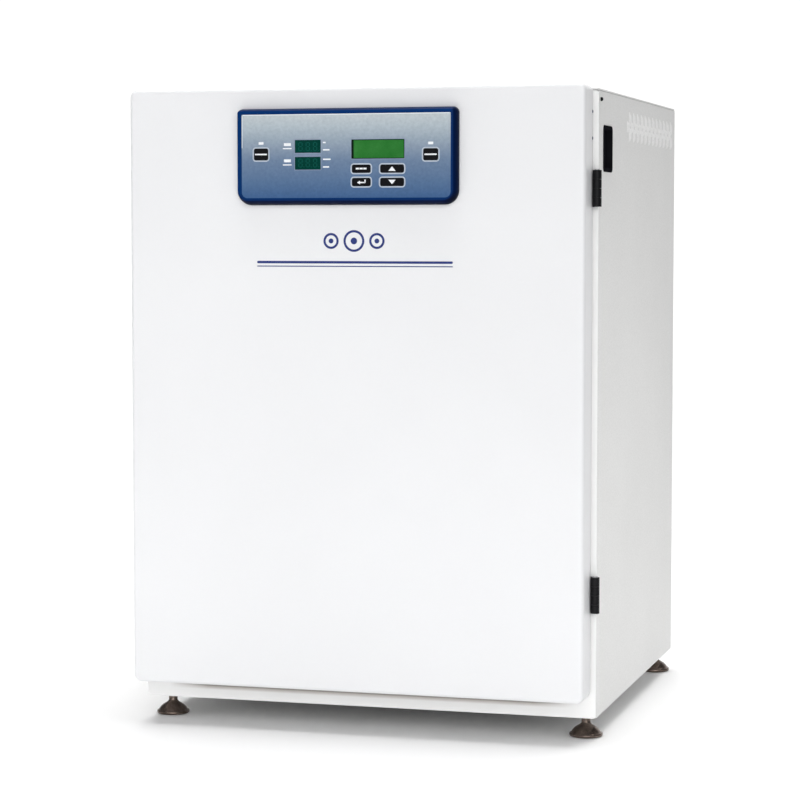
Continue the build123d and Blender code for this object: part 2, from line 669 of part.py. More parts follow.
# ================================================================ power switch
def make_switch_bezel():
    """Recessed square cup in the right side panel, around the rocker."""
    face_x = RIGHT_X + SWITCH_PROUD
    floor_x = RIGHT_X - CUP_DEPTH
    with BuildPart() as bezel:
        with BuildSketch(side(RIGHT_X)):
            with Locations((SWITCH_YC, SWITCH_ZC)):
                RectangleRounded(SWITCH_D, SWITCH_H, 7)
        extrude(amount=SWITCH_PROUD)
        fillet(bezel.faces().sort_by(Axis.X)[-1].edges(), 0.9)
        with BuildSketch(side(floor_x - 2)):
            with Locations((SWITCH_YC, SWITCH_ZC)):
                RectangleRounded(SWITCH_D - 6.6, SWITCH_H - 6.6, 3.7)
        extrude(amount=RIGHT_X - floor_x + 2)
        with BuildSketch(side(floor_x)):
            with Locations((SWITCH_YC, SWITCH_ZC)):
                RectangleRounded(SWITCH_D - 11, SWITCH_H - 11, 3)
        extrude(amount=face_x - floor_x + 1, mode=Mode.SUBTRACT)
        block(floor_x - 16, floor_x + 3.5, SWITCH_YC - 15, SWITCH_YC + 15, SWITCH_ZC - 20, SWITCH_ZC + 20)
        block(floor_x - 14, floor_x + 5, SWITCH_YC - 12, SWITCH_YC + 12, SWITCH_ZC - 17, SWITCH_ZC + 17,
              mode=Mode.SUBTRACT)
        rod((ROCKER_X, SWITCH_YC, SWITCH_ZC), TRUNNION_R + 0.1, TRUNNION_SPAN + 0.8, "Y", mode=Mode.SUBTRACT)
    save(bezel, "switch_bezel")


def make_power_rocker():
    """Rocker that turns about a level axis along Y, its lower half pressed in at rest."""
    with BuildPart() as rocker:
        with BuildSketch(Plane.XZ.offset(-(SWITCH_YC + 11.4))):
            with BuildLine():
                Polyline(
                    (ROCKER_X - 6, SWITCH_ZC - 12), (ROCKER_X + 4.2, SWITCH_ZC - 15),
                    (ROCKER_X + 5.6, SWITCH_ZC), (ROCKER_X + 9.4, SWITCH_ZC + 15),
                    (ROCKER_X - 6, SWITCH_ZC + 12), close=True,
                )
            make_face()
        extrude(amount=22.8)
        fillet(rocker.edges().filter_by(Axis.Y).sort_by(Axis.X)[-3:], 1)
        rod((ROCKER_X, SWITCH_YC, SWITCH_ZC), TRUNNION_R, TRUNNION_SPAN, "Y")
    save(rocker, "power_rocker")


# ================================================================ outer door
def make_door_skin():
    """Deep-drawn outer shell with rolled front edges, open at the back."""
    depth = DOOR_BACK_Y - DOOR_FRONT_Y
    with BuildPart() as skin:
        with BuildSketch(front(DOOR_BACK_Y)):
            with Locations((DOOR_XC, DOOR_ZC)):
                RectangleRounded(DOOR_W, DOOR_H, 11)
        extrude(amount=depth)
        fillet(skin.faces().sort_by(Axis.Y)[0].edges(), 6)
        offset(amount=-SKIN_T, openings=skin.faces().sort_by(Axis.Y)[-1])
        block(POD_XC - 140, POD_XC + 140, DOOR_FRONT_Y - 1, DOOR_FRONT_Y + 5,
              POD_Z0 + 20, POD_Z0 + POD_H - 20, mode=Mode.SUBTRACT)
        block(DOOR_X0 - 1, DOOR_X0 + 3, GRIP_YC - GRIP_D / 2, GRIP_YC + GRIP_D / 2,
              GRIP_ZC - GRIP_H / 2, GRIP_ZC + GRIP_H / 2, mode=Mode.SUBTRACT)
    save(skin, "door_skin")


def make_door_grip():
    """Finger cup let into the door's free edge."""
    with BuildPart() as grip:
        block(DOOR_X0 + 0.2, DOOR_X0 + GRIP_DEPTH, GRIP_YC - GRIP_D / 2 + FIT, GRIP_YC + GRIP_D / 2 - FIT,
              GRIP_ZC - GRIP_H / 2 + FIT, GRIP_ZC + GRIP_H / 2 - FIT)
        fillet(grip.edges().filter_by(Axis.Y).group_by(Axis.X)[-1], 6)
        mouth = grip.faces().sort_by(Axis.X)[0]
        offset(amount=-GRIP_WALL, openings=mouth)
    save(grip, "door_grip")


def make_door_liner():
    """Inner pan of the door, dished to clear the glass door."""
    wall = 1.5
    w, h = RECESS_X1 - RECESS_X0, RECESS_Z1 - RECESS_Z0
    xc, zc = (RECESS_X0 + RECESS_X1) / 2, (RECESS_Z0 + RECESS_Z1) / 2
    depth = DOOR_BACK_Y - RECESS_Y
    with BuildPart() as liner:
        with BuildSketch(front(DOOR_BACK_Y)):
            with Locations((DOOR_XC, DOOR_ZC)):
                RectangleRounded(DOOR_W - 2 * SKIN_T - 2 * FIT, DOOR_H - 2 * SKIN_T - 2 * FIT, 9.3)
        extrude(amount=wall)
        with BuildSketch(front(DOOR_BACK_Y)):
            with Locations((xc, zc)):
                RectangleRounded(w + 2 * wall, h + 2 * wall, RECESS_R + wall)
        extrude(amount=depth + wall)
        with BuildSketch(front(DOOR_BACK_Y + 1)):
            with Locations((xc, zc)):
                RectangleRounded(w, h, RECESS_R)
        extrude(amount=depth + 1, mode=Mode.SUBTRACT)
    save(liner, "door_liner")


def make_door_insulation():
    """Foam slab between skin and liner, cut out for the pod's electronics and the grip."""
    inset = 4.0
    y0, y1 = DOOR_FRONT_Y + SKIN_T + 1, DOOR_BACK_Y - 2
    with BuildPart() as foam:
        block(DOOR_X0 + inset, DOOR_X1 - inset, y0, y1, DOOR_Z0 + inset, DOOR_Z1 - inset)
        fillet(foam.edges().filter_by(Axis.Y), 8)
        fillet(foam.faces().sort_by(Axis.Y)[0].edges(), 4)
        block(RECESS_X0 - 2.5, RECESS_X1 + 2.5, RECESS_Y - 2.2, y1 + 1, RECESS_Z0 - 2.5, RECESS_Z1 + 2.5,
              mode=Mode.SUBTRACT)
        block(POD_XC - 150, POD_XC + 150, y0 - 1, y0 + 8, POD_Z0 + 8, POD_Z0 + POD_H - 8, mode=Mode.SUBTRACT)
        block(DOOR_X0, DOOR_X0 + GRIP_DEPTH + 1, GRIP_YC - GRIP_D / 2 - 1, GRIP_YC + GRIP_D / 2 + 1,
              GRIP_ZC - GRIP_H / 2 - 1, GRIP_ZC + GRIP_H / 2 + 1, mode=Mode.SUBTRACT)
    save(foam, "door_insulation")


# ================================================================ hinges
def knuckle_span(z0, index):
    """Lower and upper height of one of a hinge's four knuckles."""
    half_gap = KNUCKLE_GAP / 2
    return z0 + index * KNUCKLE_H + half_gap, z0 + (index + 1) * KNUCKLE_H - half_gap


def make_hinge_leaves(label, y_plate, plate_x1, knuckles, web):
    """One leaf per hinge: a plate, webs to its own knuckles and a screw pair."""
    with BuildPart() as leaves:
        for z0 in HINGE_ZS:
            block(LEAF_X0, plate_x1, y_plate, y_plate + LEAF_T, z0, z0 + HINGE_H)
            for index in knuckles:
                low, high = knuckle_span(z0, index)
                rod((HINGE_X, HINGE_Y, (low + high) / 2), HINGE_R, high - low)
                block(web[0], web[1], web[2], web[3], low, high)
            rod((HINGE_X, HINGE_Y, z0 + HINGE_H / 2), HINGE_BORE_R, HINGE_H + 2, mode=Mode.SUBTRACT)
            for z in (z0 + 12, z0 + HINGE_H - 12):
                rod((LEAF_X0 + 9, y_plate, z), 2.2, 8, "Y", mode=Mode.SUBTRACT)
    save(leaves, label)


def make_hinge_pins():
    with BuildPart() as pins:
        for z0 in HINGE_ZS:
            rod((HINGE_X, HINGE_Y, z0 + HINGE_H / 2 + 0.5), HINGE_PIN_R, HINGE_H)
            rod((HINGE_X, HINGE_Y, z0 + HINGE_H + 0.7), 3.6, 1.2)
    save(pins, "hinge_pins")


# ================================================================ glass door
def make_glass_pane():
    with BuildPart() as pane:
        with BuildSketch(front(PANE_Y)):
            with Locations(((PANE_X0 + PANE_X1) / 2, PANE_ZC)):
                RectangleRounded(PANE_X1 - PANE_X0, PANE_Z1 - PANE_Z0, 8)
            with Locations((LATCH_X, LATCH_Z)):
                Circle(4.1, mode=Mode.SUBTRACT)
        extrude(amount=PANE_T)
        chamfer(pane.faces().filter_by(Axis.Y).edges().filter_by(GeomType.LINE), 0.5)
    save(pane, "glass_pane")


def make_glass_hinge_straps():
    """Two clamp plates bonded to the pane, each with its barrel."""
    face_y = PANE_Y - PANE_T
    with BuildPart() as straps:
        for z in GLASS_HINGE_ZS:
            low, high = z - STRAP_H / 2, z + STRAP_H / 2
            block(CAB_X + 236, GLASS_HINGE_X, face_y - 2, face_y, low, high)
            rod((GLASS_HINGE_X, GLASS_HINGE_Y, z), GLASS_HINGE_R, STRAP_H)
            rod((GLASS_HINGE_X, GLASS_HINGE_Y, z), GLASS_BORE_R, STRAP_H + 2, mode=Mode.SUBTRACT)
    save(straps, "glass_hinge_straps")


def make_glass_hinge_brackets():
    """Two forks with their pivot pins, screwed to the front frame."""
    with BuildPart() as brackets:
        for z in GLASS_HINGE_ZS:
            reach = STRAP_H / 2 + 0.4
            block(GLASS_HINGE_X - 6, GLASS_HINGE_X + 8, FRONT_Y - 1.6, FRONT_Y, z - reach - 14, z + reach + 14)
            for low in (z - reach - 3, z + reach):
                block(GLASS_HINGE_X - 5, GLASS_HINGE_X + 5, GLASS_HINGE_Y - 5, FRONT_Y, low, low + 3)
            rod((GLASS_HINGE_X, GLASS_HINGE_Y, z), GLASS_PIN_R, 2 * reach + 6)
    save(brackets, "glass_hinge_brackets")


def make_latch_keeper():
    """Hook on the front frame that the latch lever turns under."""
    with BuildPart() as keeper:
        block(KEEPER_X1 - 14, KEEPER_X1, FRONT_Y - 2, FRONT_Y, LATCH_Z - 20, LATCH_Z + 20)
        block(KEEPER_X1 - 14, KEEPER_X1 - 10, FRONT_Y - 21, FRONT_Y, LATCH_Z - 9, LATCH_Z + 9)
        block(KEEPER_X1 - 14, KEEPER_X1, FRONT_Y - 21, FRONT_Y - 18, LATCH_Z - 9, LATCH_Z + 9)
    save(keeper, "latch_keeper")


def make_latch_knob():
    """Turn knob with its lever, standing upright (released) at rest."""
    face_y = PANE_Y - PANE_T - 0.4
    lever_len, lever_w = 26.0, 10.0
    with BuildPart() as knob:
        rod((LATCH_X, face_y - 6.5, LATCH_Z), 10, 13, "Y")
        fillet(knob.faces().sort_by(Axis.Y)[0].edges(), 2)
        block(LATCH_X - lever_w / 2, LATCH_X + lever_w / 2, face_y - 4.5, face_y - 1.5,
              LATCH_Z, LATCH_Z + lever_len)
        rod((LATCH_X, face_y + 2.2, LATCH_Z), 4, 5.2, "Y")
    save(knob, "latch_knob")


# ================================================================ control pod
def pod_outline(w, h, r_top, r_bottom):
    """Rectangle with one radius for the upper corners and one for the lower."""
    with BuildSketch() as outline:
        Rectangle(w, h)
        corners = outline.vertices().group_by(Axis.Y)
        fillet(corners[-1], r_top)
        lower = outline.vertices().group_by(Axis.Y)[0]
        fillet(lower, r_bottom)
    return outline.sketch


def place_front(shape, x, y, z):
    """The same flat shape, standing in a front plane at (x, y, z)."""
    return Plane(origin=(x, y, z), x_dir=(1, 0, 0), z_dir=(0, -1, 0)) * shape


def make_panel_bezel():
    outline = pod_outline(POD_W, POD_H, POD_R_TOP, POD_R_BOTTOM)
    seat = pod_outline(FILM_W + 0.3, FILM_H + 0.3, FILM_R_TOP, FILM_R_BOTTOM)
    cavity = pod_outline(POD_W - 2 * POD_WALL, POD_H - 2 * POD_WALL, POD_R_TOP - 2, POD_R_BOTTOM - 2)
    zc = POD_Z0 + POD_H / 2
    with BuildPart() as bezel:
        extrude(place_front(outline, POD_XC, DOOR_FRONT_Y, zc), amount=POD_PROUD)
        fillet(bezel.faces().sort_by(Axis.Y)[0].edges(), 4.5)
        extrude(place_front(seat, POD_XC, SEAT_Y, FILM_ZC), amount=2, mode=Mode.SUBTRACT)
        inner_depth = POD_PROUD - FILM_SUNK - POD_WALL
        extrude(place_front(cavity, POD_XC, DOOR_FRONT_Y + 1, zc), amount=inner_depth + 1, mode=Mode.SUBTRACT)
        with BuildSketch(front(SEAT_Y + POD_WALL + 1)):
            window_cuts(KEY_GAP, 0.2)
        extrude(amount=POD_WALL + 2, mode=Mode.SUBTRACT)
    save(bezel, "panel_bezel")


def window_cuts(key_gap, window_gap):
    """Openings for the keys and the display windows, in the current front sketch."""
    for x, z, w, h in KEYS.values():
        with Locations((CAB_X + x, BASE_Z + z)):
            RectangleRounded(w + 2 * key_gap, h + 2 * key_gap, KEY_R)
    for x, z, w, h in (LCD,) + LED_WINDOWS:
        with Locations((CAB_X + x, BASE_Z + z)):
            Rectangle(w + 2 * window_gap, h + 2 * window_gap)


def make_panel_overlay():
    film = pod_outline(FILM_W, FILM_H, FILM_R_TOP, FILM_R_BOTTOM)
    with BuildPart() as overlay:
        extrude(place_front(film, POD_XC, SEAT_Y, FILM_ZC), amount=FILM_T)
        with BuildSketch(front(SEAT_Y + 1)):
            window_cuts(KEY_GAP, 0.2)
        extrude(amount=FILM_T + 2, mode=Mode.SUBTRACT)
    save(overlay, "panel_overlay")


def make_key(label, x, z, w, h):
    """Key cap with a retaining flange behind the pod's wall."""
    xc, zc = CAB_X + x, BASE_Z + z
    face_y = SEAT_Y - FILM_T - KEY_PROUD
    wall_back = SEAT_Y + POD_WALL
    with BuildPart() as key:
        with BuildSketch(front(wall_back + 0.3)):
            with Locations((xc, zc)):
                RectangleRounded(w, h, KEY_R)
        extrude(amount=wall_back + 0.3 - face_y)
        fillet(key.faces().sort_by(Axis.Y)[0].edges(), 0.5)
        with BuildSketch(front(wall_back + 1.3)):
            with Locations((xc, zc)):
                RectangleRounded(w + 2.4, h + 2.4, KEY_R)
        extrude(amount=1)
        rod((xc, (wall_back + BOARD_Y - SWITCH_T - 1) / 2 + 0.6, zc), 2, BOARD_Y - SWITCH_T - 1 - wall_back - 1.2, "Y")
    save(key, label)


def make_display_board():
    """Display circuit board with a tact switch behind each key."""
    with BuildPart() as board:
        block(POD_XC - 136, POD_XC + 136, BOARD_Y, BOARD_Y + BOARD_T, POD_Z0 + 22, POD_Z0 + POD_H - 22)
        for x, z, _, _ in KEYS.values():
            xc, zc = CAB_X + x, BASE_Z + z
            block(xc - 3, xc + 3, BOARD_Y - SWITCH_T, BOARD_Y, zc - 3, zc + 3)
    save(board, "display_board")


def display_block(x, z, w, h, margin):
    """Window piece flush with the film, on a wider module behind the wall."""
    xc, zc = CAB_X + x, BASE_Z + z
    wall_back = SEAT_Y + POD_WALL
    face_y = SEAT_Y - FILM_T + 0.1
    block(xc - w / 2, xc + w / 2, face_y, wall_back + 0.2, zc - h / 2, zc + h / 2)
    block(xc - w / 2 - margin, xc + w / 2 + margin, wall_back + 0.1, BOARD_Y, zc - h / 2 - margin / 2,
          zc + h / 2 + margin / 2)


def make_lcd_module():
    with BuildPart() as lcd:
        display_block(*LCD, 3.0)
    save(lcd, "lcd_module")


def make_led_displays():
    with BuildPart() as leds:
        for window in LED_WINDOWS:
            display_block(*window, 2.0)
    save(leds, "led_displays")


# ================================================================ feet and fixings
def make_foot(label, x, y):
    """Levelling foot: flared pad on a stem that screws into the base."""
    stem_top = BASE_Z + 26.0
    with BuildPart() as foot:
        with BuildSketch(Plane.XZ):
            with BuildLine():
                l1 = Polyline((0, 0), (19, 0), (FOOT_RIM_R - 0.8, 2.4), (FOOT_RIM_R, 4.2))
                l2 = Line(l1 @ 1, (FOOT_RIM_R - 0.9, 6.2))
                l3 = Spline(l2 @ 1, (15.2, 12.8), (8.4, 19.6), tangents=((-1, 0.5), (-0.6, 1)))
                Polyline(l3 @ 1, (6.4, 21), (6.4, 27), (STEM_R, 28), (STEM_R, stem_top), (0, stem_top), (0, 0))
            make_face()
        revolve(axis=Axis.Z)
    foot.part.position = (x, y, 0)
    save(foot, label)


def make_panel_screws():
    """Dome-headed screws of the side panels and the back panel."""
    head_r, head_h = 4.0, 1.8
    with BuildPart() as screws:
        for x, sign in ((LEFT_X, -1), (RIGHT_X, 1)):
            rod((x + sign * head_h / 2, FRONT_Y + 14.6, BASE_Z + 850.5), head_r, head_h, "X")
        for x in (LEFT_X + 20, CAB_X, RIGHT_X - 20):
            for z in (BASE_Z + 30, BASE_Z + 440, BASE_Z + 845):
                rod((x, BACK_Y + head_h / 2, z), head_r, head_h, "Y")
    save(screws, "panel_screws")


# ================================================================ build everything
make_base_pan()
make_side_panel("side_panel_left", LEFT_X, 1, False)
make_side_panel("side_panel_right", RIGHT_X, -1, True)
make_top_cover()
make_back_panel()
make_front_frame()
make_inner_chamber()
make_insulation_boards()
make_chamber_heaters()
make_ring("chamber_gasket", CAB_X, CH_ZC, CH_W + 1, CH_H + 1, 11.0, CH_R, FRONT_Y, 6.0)
make_shelf_racks()
for shelf_name, shelf_height in SHELF_ZS.items():
    make_shelf(shelf_name, shelf_height)
make_humidity_pan()
make_air_duct()
make_hepa_filter()
make_fan_motor()
make_fan_impeller()
make_co2_sensor()
make_temperature_probes()
make_access_port()
make_port_plug()
make_control_board()
make_power_supply()
make_gas_valve()
make_gas_tube()
make_gas_inlet()
make_mains_inlet()
make_switch_bezel()
make_power_rocker()
make_door_skin()
make_door_grip()
make_door_liner()
make_door_insulation()
make_ring(
    "door_gasket",
    (RECESS_X0 + RECESS_X1) / 2,
    (RECESS_Z0 + RECESS_Z1) / 2,
    RECESS_X1 - RECESS_X0 + 4,
    RECESS_Z1 - RECESS_Z0 + 4,
    SEAL_W,
    RECESS_R + 2,
    FRONT_Y - 0.3,
    DOOR_GAP - 0.3,
)
cabinet_web = (LEAF_X1 + 0.5, HINGE_X, FRONT_Y - 6, FRONT_Y)
make_hinge_leaves("cabinet_hinge_leaves", FRONT_Y - LEAF_T, LEAF_X1 + 1, (0, 2), cabinet_web)
door_web = (LEAF_X1 - 1, HINGE_X, DOOR_BACK_Y, DOOR_BACK_Y + LEAF_T)
make_hinge_leaves("door_hinge_leaves", DOOR_BACK_Y, LEAF_X1, (1, 3), door_web)
make_hinge_pins()
make_glass_pane()
make_glass_hinge_straps()
make_glass_hinge_brackets()
make_latch_keeper()
make_latch_knob()
make_panel_bezel()
make_panel_overlay()
for key_name, key_size in KEYS.items():
    make_key(key_name, *key_size)
make_display_board()
make_lcd_module()
make_led_displays()
make_foot("foot_front_left", CAB_X - FOOT_X, FOOT_Y_FRONT)
make_foot("foot_front_right", CAB_X + FOOT_X, FOOT_Y_FRONT)
make_foot("foot_rear_left", CAB_X - FOOT_X, FOOT_Y_REAR)
make_foot("foot_rear_right", CAB_X + FOOT_X, FOOT_Y_REAR)
make_panel_screws()
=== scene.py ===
import json
import math

import bmesh
import bpy
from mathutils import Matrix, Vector


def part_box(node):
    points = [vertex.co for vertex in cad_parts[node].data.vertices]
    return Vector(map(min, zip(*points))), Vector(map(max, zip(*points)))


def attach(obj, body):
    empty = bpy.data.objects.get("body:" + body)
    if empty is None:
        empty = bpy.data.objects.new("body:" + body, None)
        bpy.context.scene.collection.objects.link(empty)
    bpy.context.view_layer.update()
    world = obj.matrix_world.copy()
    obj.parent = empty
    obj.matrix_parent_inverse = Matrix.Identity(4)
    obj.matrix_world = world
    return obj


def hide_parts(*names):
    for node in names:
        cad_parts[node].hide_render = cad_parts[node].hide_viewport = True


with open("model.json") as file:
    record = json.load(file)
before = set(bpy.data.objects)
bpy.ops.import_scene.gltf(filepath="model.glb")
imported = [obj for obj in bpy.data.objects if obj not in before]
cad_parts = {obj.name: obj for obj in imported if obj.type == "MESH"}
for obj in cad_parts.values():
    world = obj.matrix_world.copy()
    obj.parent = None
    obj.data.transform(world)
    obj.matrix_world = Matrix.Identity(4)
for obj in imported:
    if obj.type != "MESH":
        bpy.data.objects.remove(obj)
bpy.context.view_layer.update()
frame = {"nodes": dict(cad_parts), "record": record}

MM = 0.001
NODES = frame["nodes"]


def srgb(r, g, b):
    """Display colour 0-255 as the linear colour that a shader takes."""
    def channel(v):
        v = v / 255
        return v / 12.92 if v <= 0.04045 else ((v + 0.055) / 1.055) ** 2.4
    return (channel(r), channel(g), channel(b), 1.0)


# ---------------------------------------------------------------- material tools
class Shader:
    """A Principled material with short helpers for its procedural nodes."""

    def __init__(self, name, **sockets):
        self.mat = bpy.data.materials.new(name)
        self.mat.use_nodes = True
        self.tree = self.mat.node_tree
        self.bsdf = self.tree.nodes["Principled BSDF"]
        self.coords = self.node("ShaderNodeTexCoord")
        for key, value in sockets.items():
            self.bsdf.inputs[key.replace("_", " ")].default_value = value

    def node(self, kind, **settings):
        made = self.tree.nodes.new(kind)
        for key, value in settings.items():
            setattr(made, key, value)
        return made

    def link(self, a, b):
        self.tree.links.new(a, b)

    def noise(self, scale, detail=4.0, rough=0.55, stretch=None):
        made = self.node("ShaderNodeTexNoise")
        made.inputs["Scale"].default_value = scale
        made.inputs["Detail"].default_value = detail
        made.inputs["Roughness"].default_value = rough
        if stretch:
            mapping = self.node("ShaderNodeMapping")
            mapping.inputs["Scale"].default_value = stretch
            self.link(self.coords.outputs["Object"], mapping.inputs["Vector"])
            self.link(mapping.outputs["Vector"], made.inputs["Vector"])
        else:
            self.link(self.coords.outputs["Object"], made.inputs["Vector"])
        return made.outputs["Fac"]

    def ramp(self, value, stops):
        made = self.node("ShaderNodeValToRGB")
        elements = made.color_ramp.elements
        while len(elements) < len(stops):
            elements.new(0.5)
        for element, (place, colour) in zip(elements, stops):
            element.position = place
            element.color = colour
        self.link(value, made.inputs["Fac"])
        return made.outputs["Color"]

    def span(self, value, low, high, to_low, to_high):
        made = self.node("ShaderNodeMapRange")
        made.inputs["From Min"].default_value = low
        made.inputs["From Max"].default_value = high
        made.inputs["To Min"].default_value = to_low
        made.inputs["To Max"].default_value = to_high
        self.link(value, made.inputs["Value"])
        return made.outputs["Result"]

    def multiply(self, a, b, factor=1.0):
        made = self.node("ShaderNodeMix", data_type="RGBA", blend_type="MULTIPLY")
        made.inputs["Factor"].default_value = factor
        self.link(a, made.inputs["A"])
        self.link(b, made.inputs["B"])
        return made.outputs["Result"]

    def to_white(self, colour, factor):
        made = self.node("ShaderNodeMix", data_type="RGBA")
        made.inputs["B"].default_value = (1, 1, 1, 1)
        self.link(colour, made.inputs["A"])
        self.link(factor, made.inputs["Factor"])
        return made.outputs["Result"]

    def add(self, a, b):
        made = self.node("ShaderNodeMath", operation="ADD")
        self.link(a, made.inputs[0])
        self.link(b, made.inputs[1])
        return made.outputs["Value"]

    def axis(self, name, source="Object"):
        made = self.node("ShaderNodeSeparateXYZ")
        self.link(self.coords.outputs[source], made.inputs["Vector"])
        return made.outputs[name]

    def colour(self, output):
        self.link(output, self.bsdf.inputs["Base Color"])

    def roughness(self, output):
        self.link(output, self.bsdf.inputs["Roughness"])

    def bump(self, height, strength, distance):
        made = self.node("ShaderNodeBump")
        made.inputs["Strength"].default_value = strength
        made.inputs["Distance"].default_value = distance
        self.link(height, made.inputs["Height"])
        self.link(made.outputs["Normal"], self.bsdf.inputs["Normal"])


def tinted(colour, factor):
    """The same colour, darker or lighter."""
    return tuple(min(1.0, c * factor) for c in colour[:3]) + (1.0,)


def plain_finish(name, colour, rough, spread=0.06, scale=60.0, bump=0.1, bump_scale=900.0,
                 depth=0.0001, **sockets):
    """Painted or moulded surface: slight tone drift, uneven gloss, fine surface grain."""
    s = Shader(name, **sockets)
    drift = s.noise(scale)
    s.colour(s.ramp(drift, [(0.3, tinted(colour, 1 - spread)), (0.7, tinted(colour, 1 + spread))]))
    s.roughness(s.span(drift, 0.3, 0.7, rough * 0.88, rough * 1.12))
    s.bump(s.noise(bump_scale, 3.0), bump, depth)
    return s.mat


def powder_coat(name, colour):
    """Textured powder paint: fine speckle in tone and height, broad drift over the sheet."""
    s = Shader(name, Coat_Weight=0.08, Coat_Roughness=0.35)
    speck = s.noise(420.0, 5.0, 0.7)
    broad = s.noise(5.0, 2.0)
    fine = s.ramp(speck, [(0.25, tinted(colour, 0.84)), (0.5, colour),
                          (0.75, tinted(colour, 1.10))])
    wide = s.ramp(broad, [(0.3, (0.965, 0.965, 0.965, 1)), (0.7, (1, 1, 1, 1))])
    s.colour(s.multiply(fine, wide))
    s.roughness(s.span(speck, 0.3, 0.7, 0.42, 0.62))
    s.bump(speck, 0.35, 0.00025)
    return s.mat


def gloss_paint(name, colour):
    """Smooth baked enamel with faint orange peel; faces turned to +X get painted shade."""
    s = Shader(name, Coat_Weight=0.15, Coat_Roughness=0.2, Specular_IOR_Level=0.4)
    broad = s.noise(3.0, 2.0)
    fine = s.noise(300.0, 3.0)
    paint = s.multiply(s.ramp(broad, [(0.3, tinted(colour, 0.985)), (0.7, tinted(colour, 1.01))]),
                       s.ramp(fine, [(0.2, (0.985, 0.985, 0.985, 1)), (0.8, (1, 1, 1, 1))]))
    # Painted shade: the further a face turns to +X, the darker it is painted, down to 0.84.
    right_side_shade = s.ramp(s.axis("X", "Normal"), [(0.35, (1, 1, 1, 1)), (0.95, (0.84, 0.84, 0.84, 1))])
    s.colour(s.multiply(paint, right_side_shade))
    s.roughness(s.span(broad, 0.3, 0.7, 0.32, 0.38))
    s.bump(fine, 0.03, 0.0001)
    return s.mat


def brushed(name, colour, rough, stretch, strength=0.25):
    """Brushed sheet: streaks along one axis."""
    s = Shader(name, Metallic=1.0)
    streak = s.noise(1.0, 6.0, 0.75, stretch)
    cloud = s.noise(9.0, 3.0)
    base = s.ramp(streak, [(0.25, tinted(colour, 0.86)), (0.75, tinted(colour, 1.08))])
    s.colour(s.multiply(base, s.ramp(cloud, [(0.3, (0.93, 0.93, 0.94, 1)), (0.7, (1, 1, 1, 1))])))
    s.roughness(s.span(streak, 0.25, 0.75, rough * 0.8, rough * 1.25))
    s.bump(streak, strength, 0.00006)
    return s.mat


def cast_metal(name, dark, light, rough):
    """Bronze-brown blackened metal with rubbed highlights."""
    s = Shader(name, Metallic=0.85)
    patch = s.noise(90.0, 6.0, 0.65)
    s.colour(s.ramp(patch, [(0.35, dark), (0.72, light)]))
    s.roughness(s.span(patch, 0.3, 0.7, rough * 0.75, rough * 1.3))
    s.bump(s.noise(500.0, 3.0), 0.2, 0.0002)
    return s.mat


def overlay_film(name, low_z, high_z):
    """Printed polyester: vertical blue-to-silver gradient, fine satin mottling."""
    s = Shader(name, Specular_IOR_Level=0.2)
    height = s.span(s.axis("Z"), low_z, high_z, 0.0, 1.0)
    base = s.ramp(height, [
        (0.0, srgb(62, 98, 144)), (0.22, srgb(90, 118, 154)), (0.45, srgb(112, 134, 162)),
        (0.68, srgb(154, 169, 184)), (0.86, srgb(184, 196, 203)), (1.0, srgb(200, 208, 211)),
    ])
    mottle = s.noise(230.0, 4.0, 0.65)
    grain = s.ramp(mottle, [(0.3, (0.82, 0.83, 0.85, 1)), (0.72, (1.0, 1.0, 1.0, 1))])
    s.colour(s.multiply(base, grain))
    s.roughness(s.span(mottle, 0.3, 0.7, 0.34, 0.5))
    s.bump(mottle, 0.12, 0.0001)
    return s.mat


def bezel_paint(name):
    """Gloss blue moulding with painted shade: darker on its rounded slopes than on its face, and
    darker still on faces turned to the right and on faces turned downwards.
    """
    s = Shader(name, Specular_IOR_Level=0.05)
    # Painted shade: slopes turned away from the front get a darker blue.
    slope_shade = s.span(s.axis("Y", "Normal"), -1.0, -0.5, 0.0, 1.0)
    face = s.ramp(slope_shade, [(0.0, srgb(4, 48, 104)), (0.4, srgb(4, 46, 104)),
                           (1.0, srgb(2, 34, 80))])
    # Painted shade: faces turned to the right (+X) are darkened.
    right = s.span(s.axis("X", "Normal"), 0.05, 0.7, 0.0, 1.0)
    face = s.multiply(face, s.ramp(right, [(0.0, (1, 1, 1, 1)), (1.0, (0.3, 0.36, 0.42, 1))]))
    # Painted shade: faces turned downwards are darkened.
    underside_shade = s.span(s.axis("Z", "Normal"), -0.6, -0.05, 0.0, 1.0)
    face = s.multiply(face, s.ramp(underside_shade, [(0.0, (0.14, 0.2, 0.28, 1)), (1.0, (1, 1, 1, 1))]))
    drift = s.noise(25.0)
    s.colour(s.multiply(face, s.ramp(drift, [(0.3, (0.93, 0.93, 0.93, 1)), (0.7, (1, 1, 1, 1))])))
    s.roughness(s.span(drift, 0.3, 0.7, 0.3, 0.38))
    s.bump(s.noise(300.0, 3.0), 0.04, 0.0002)
    return s.mat


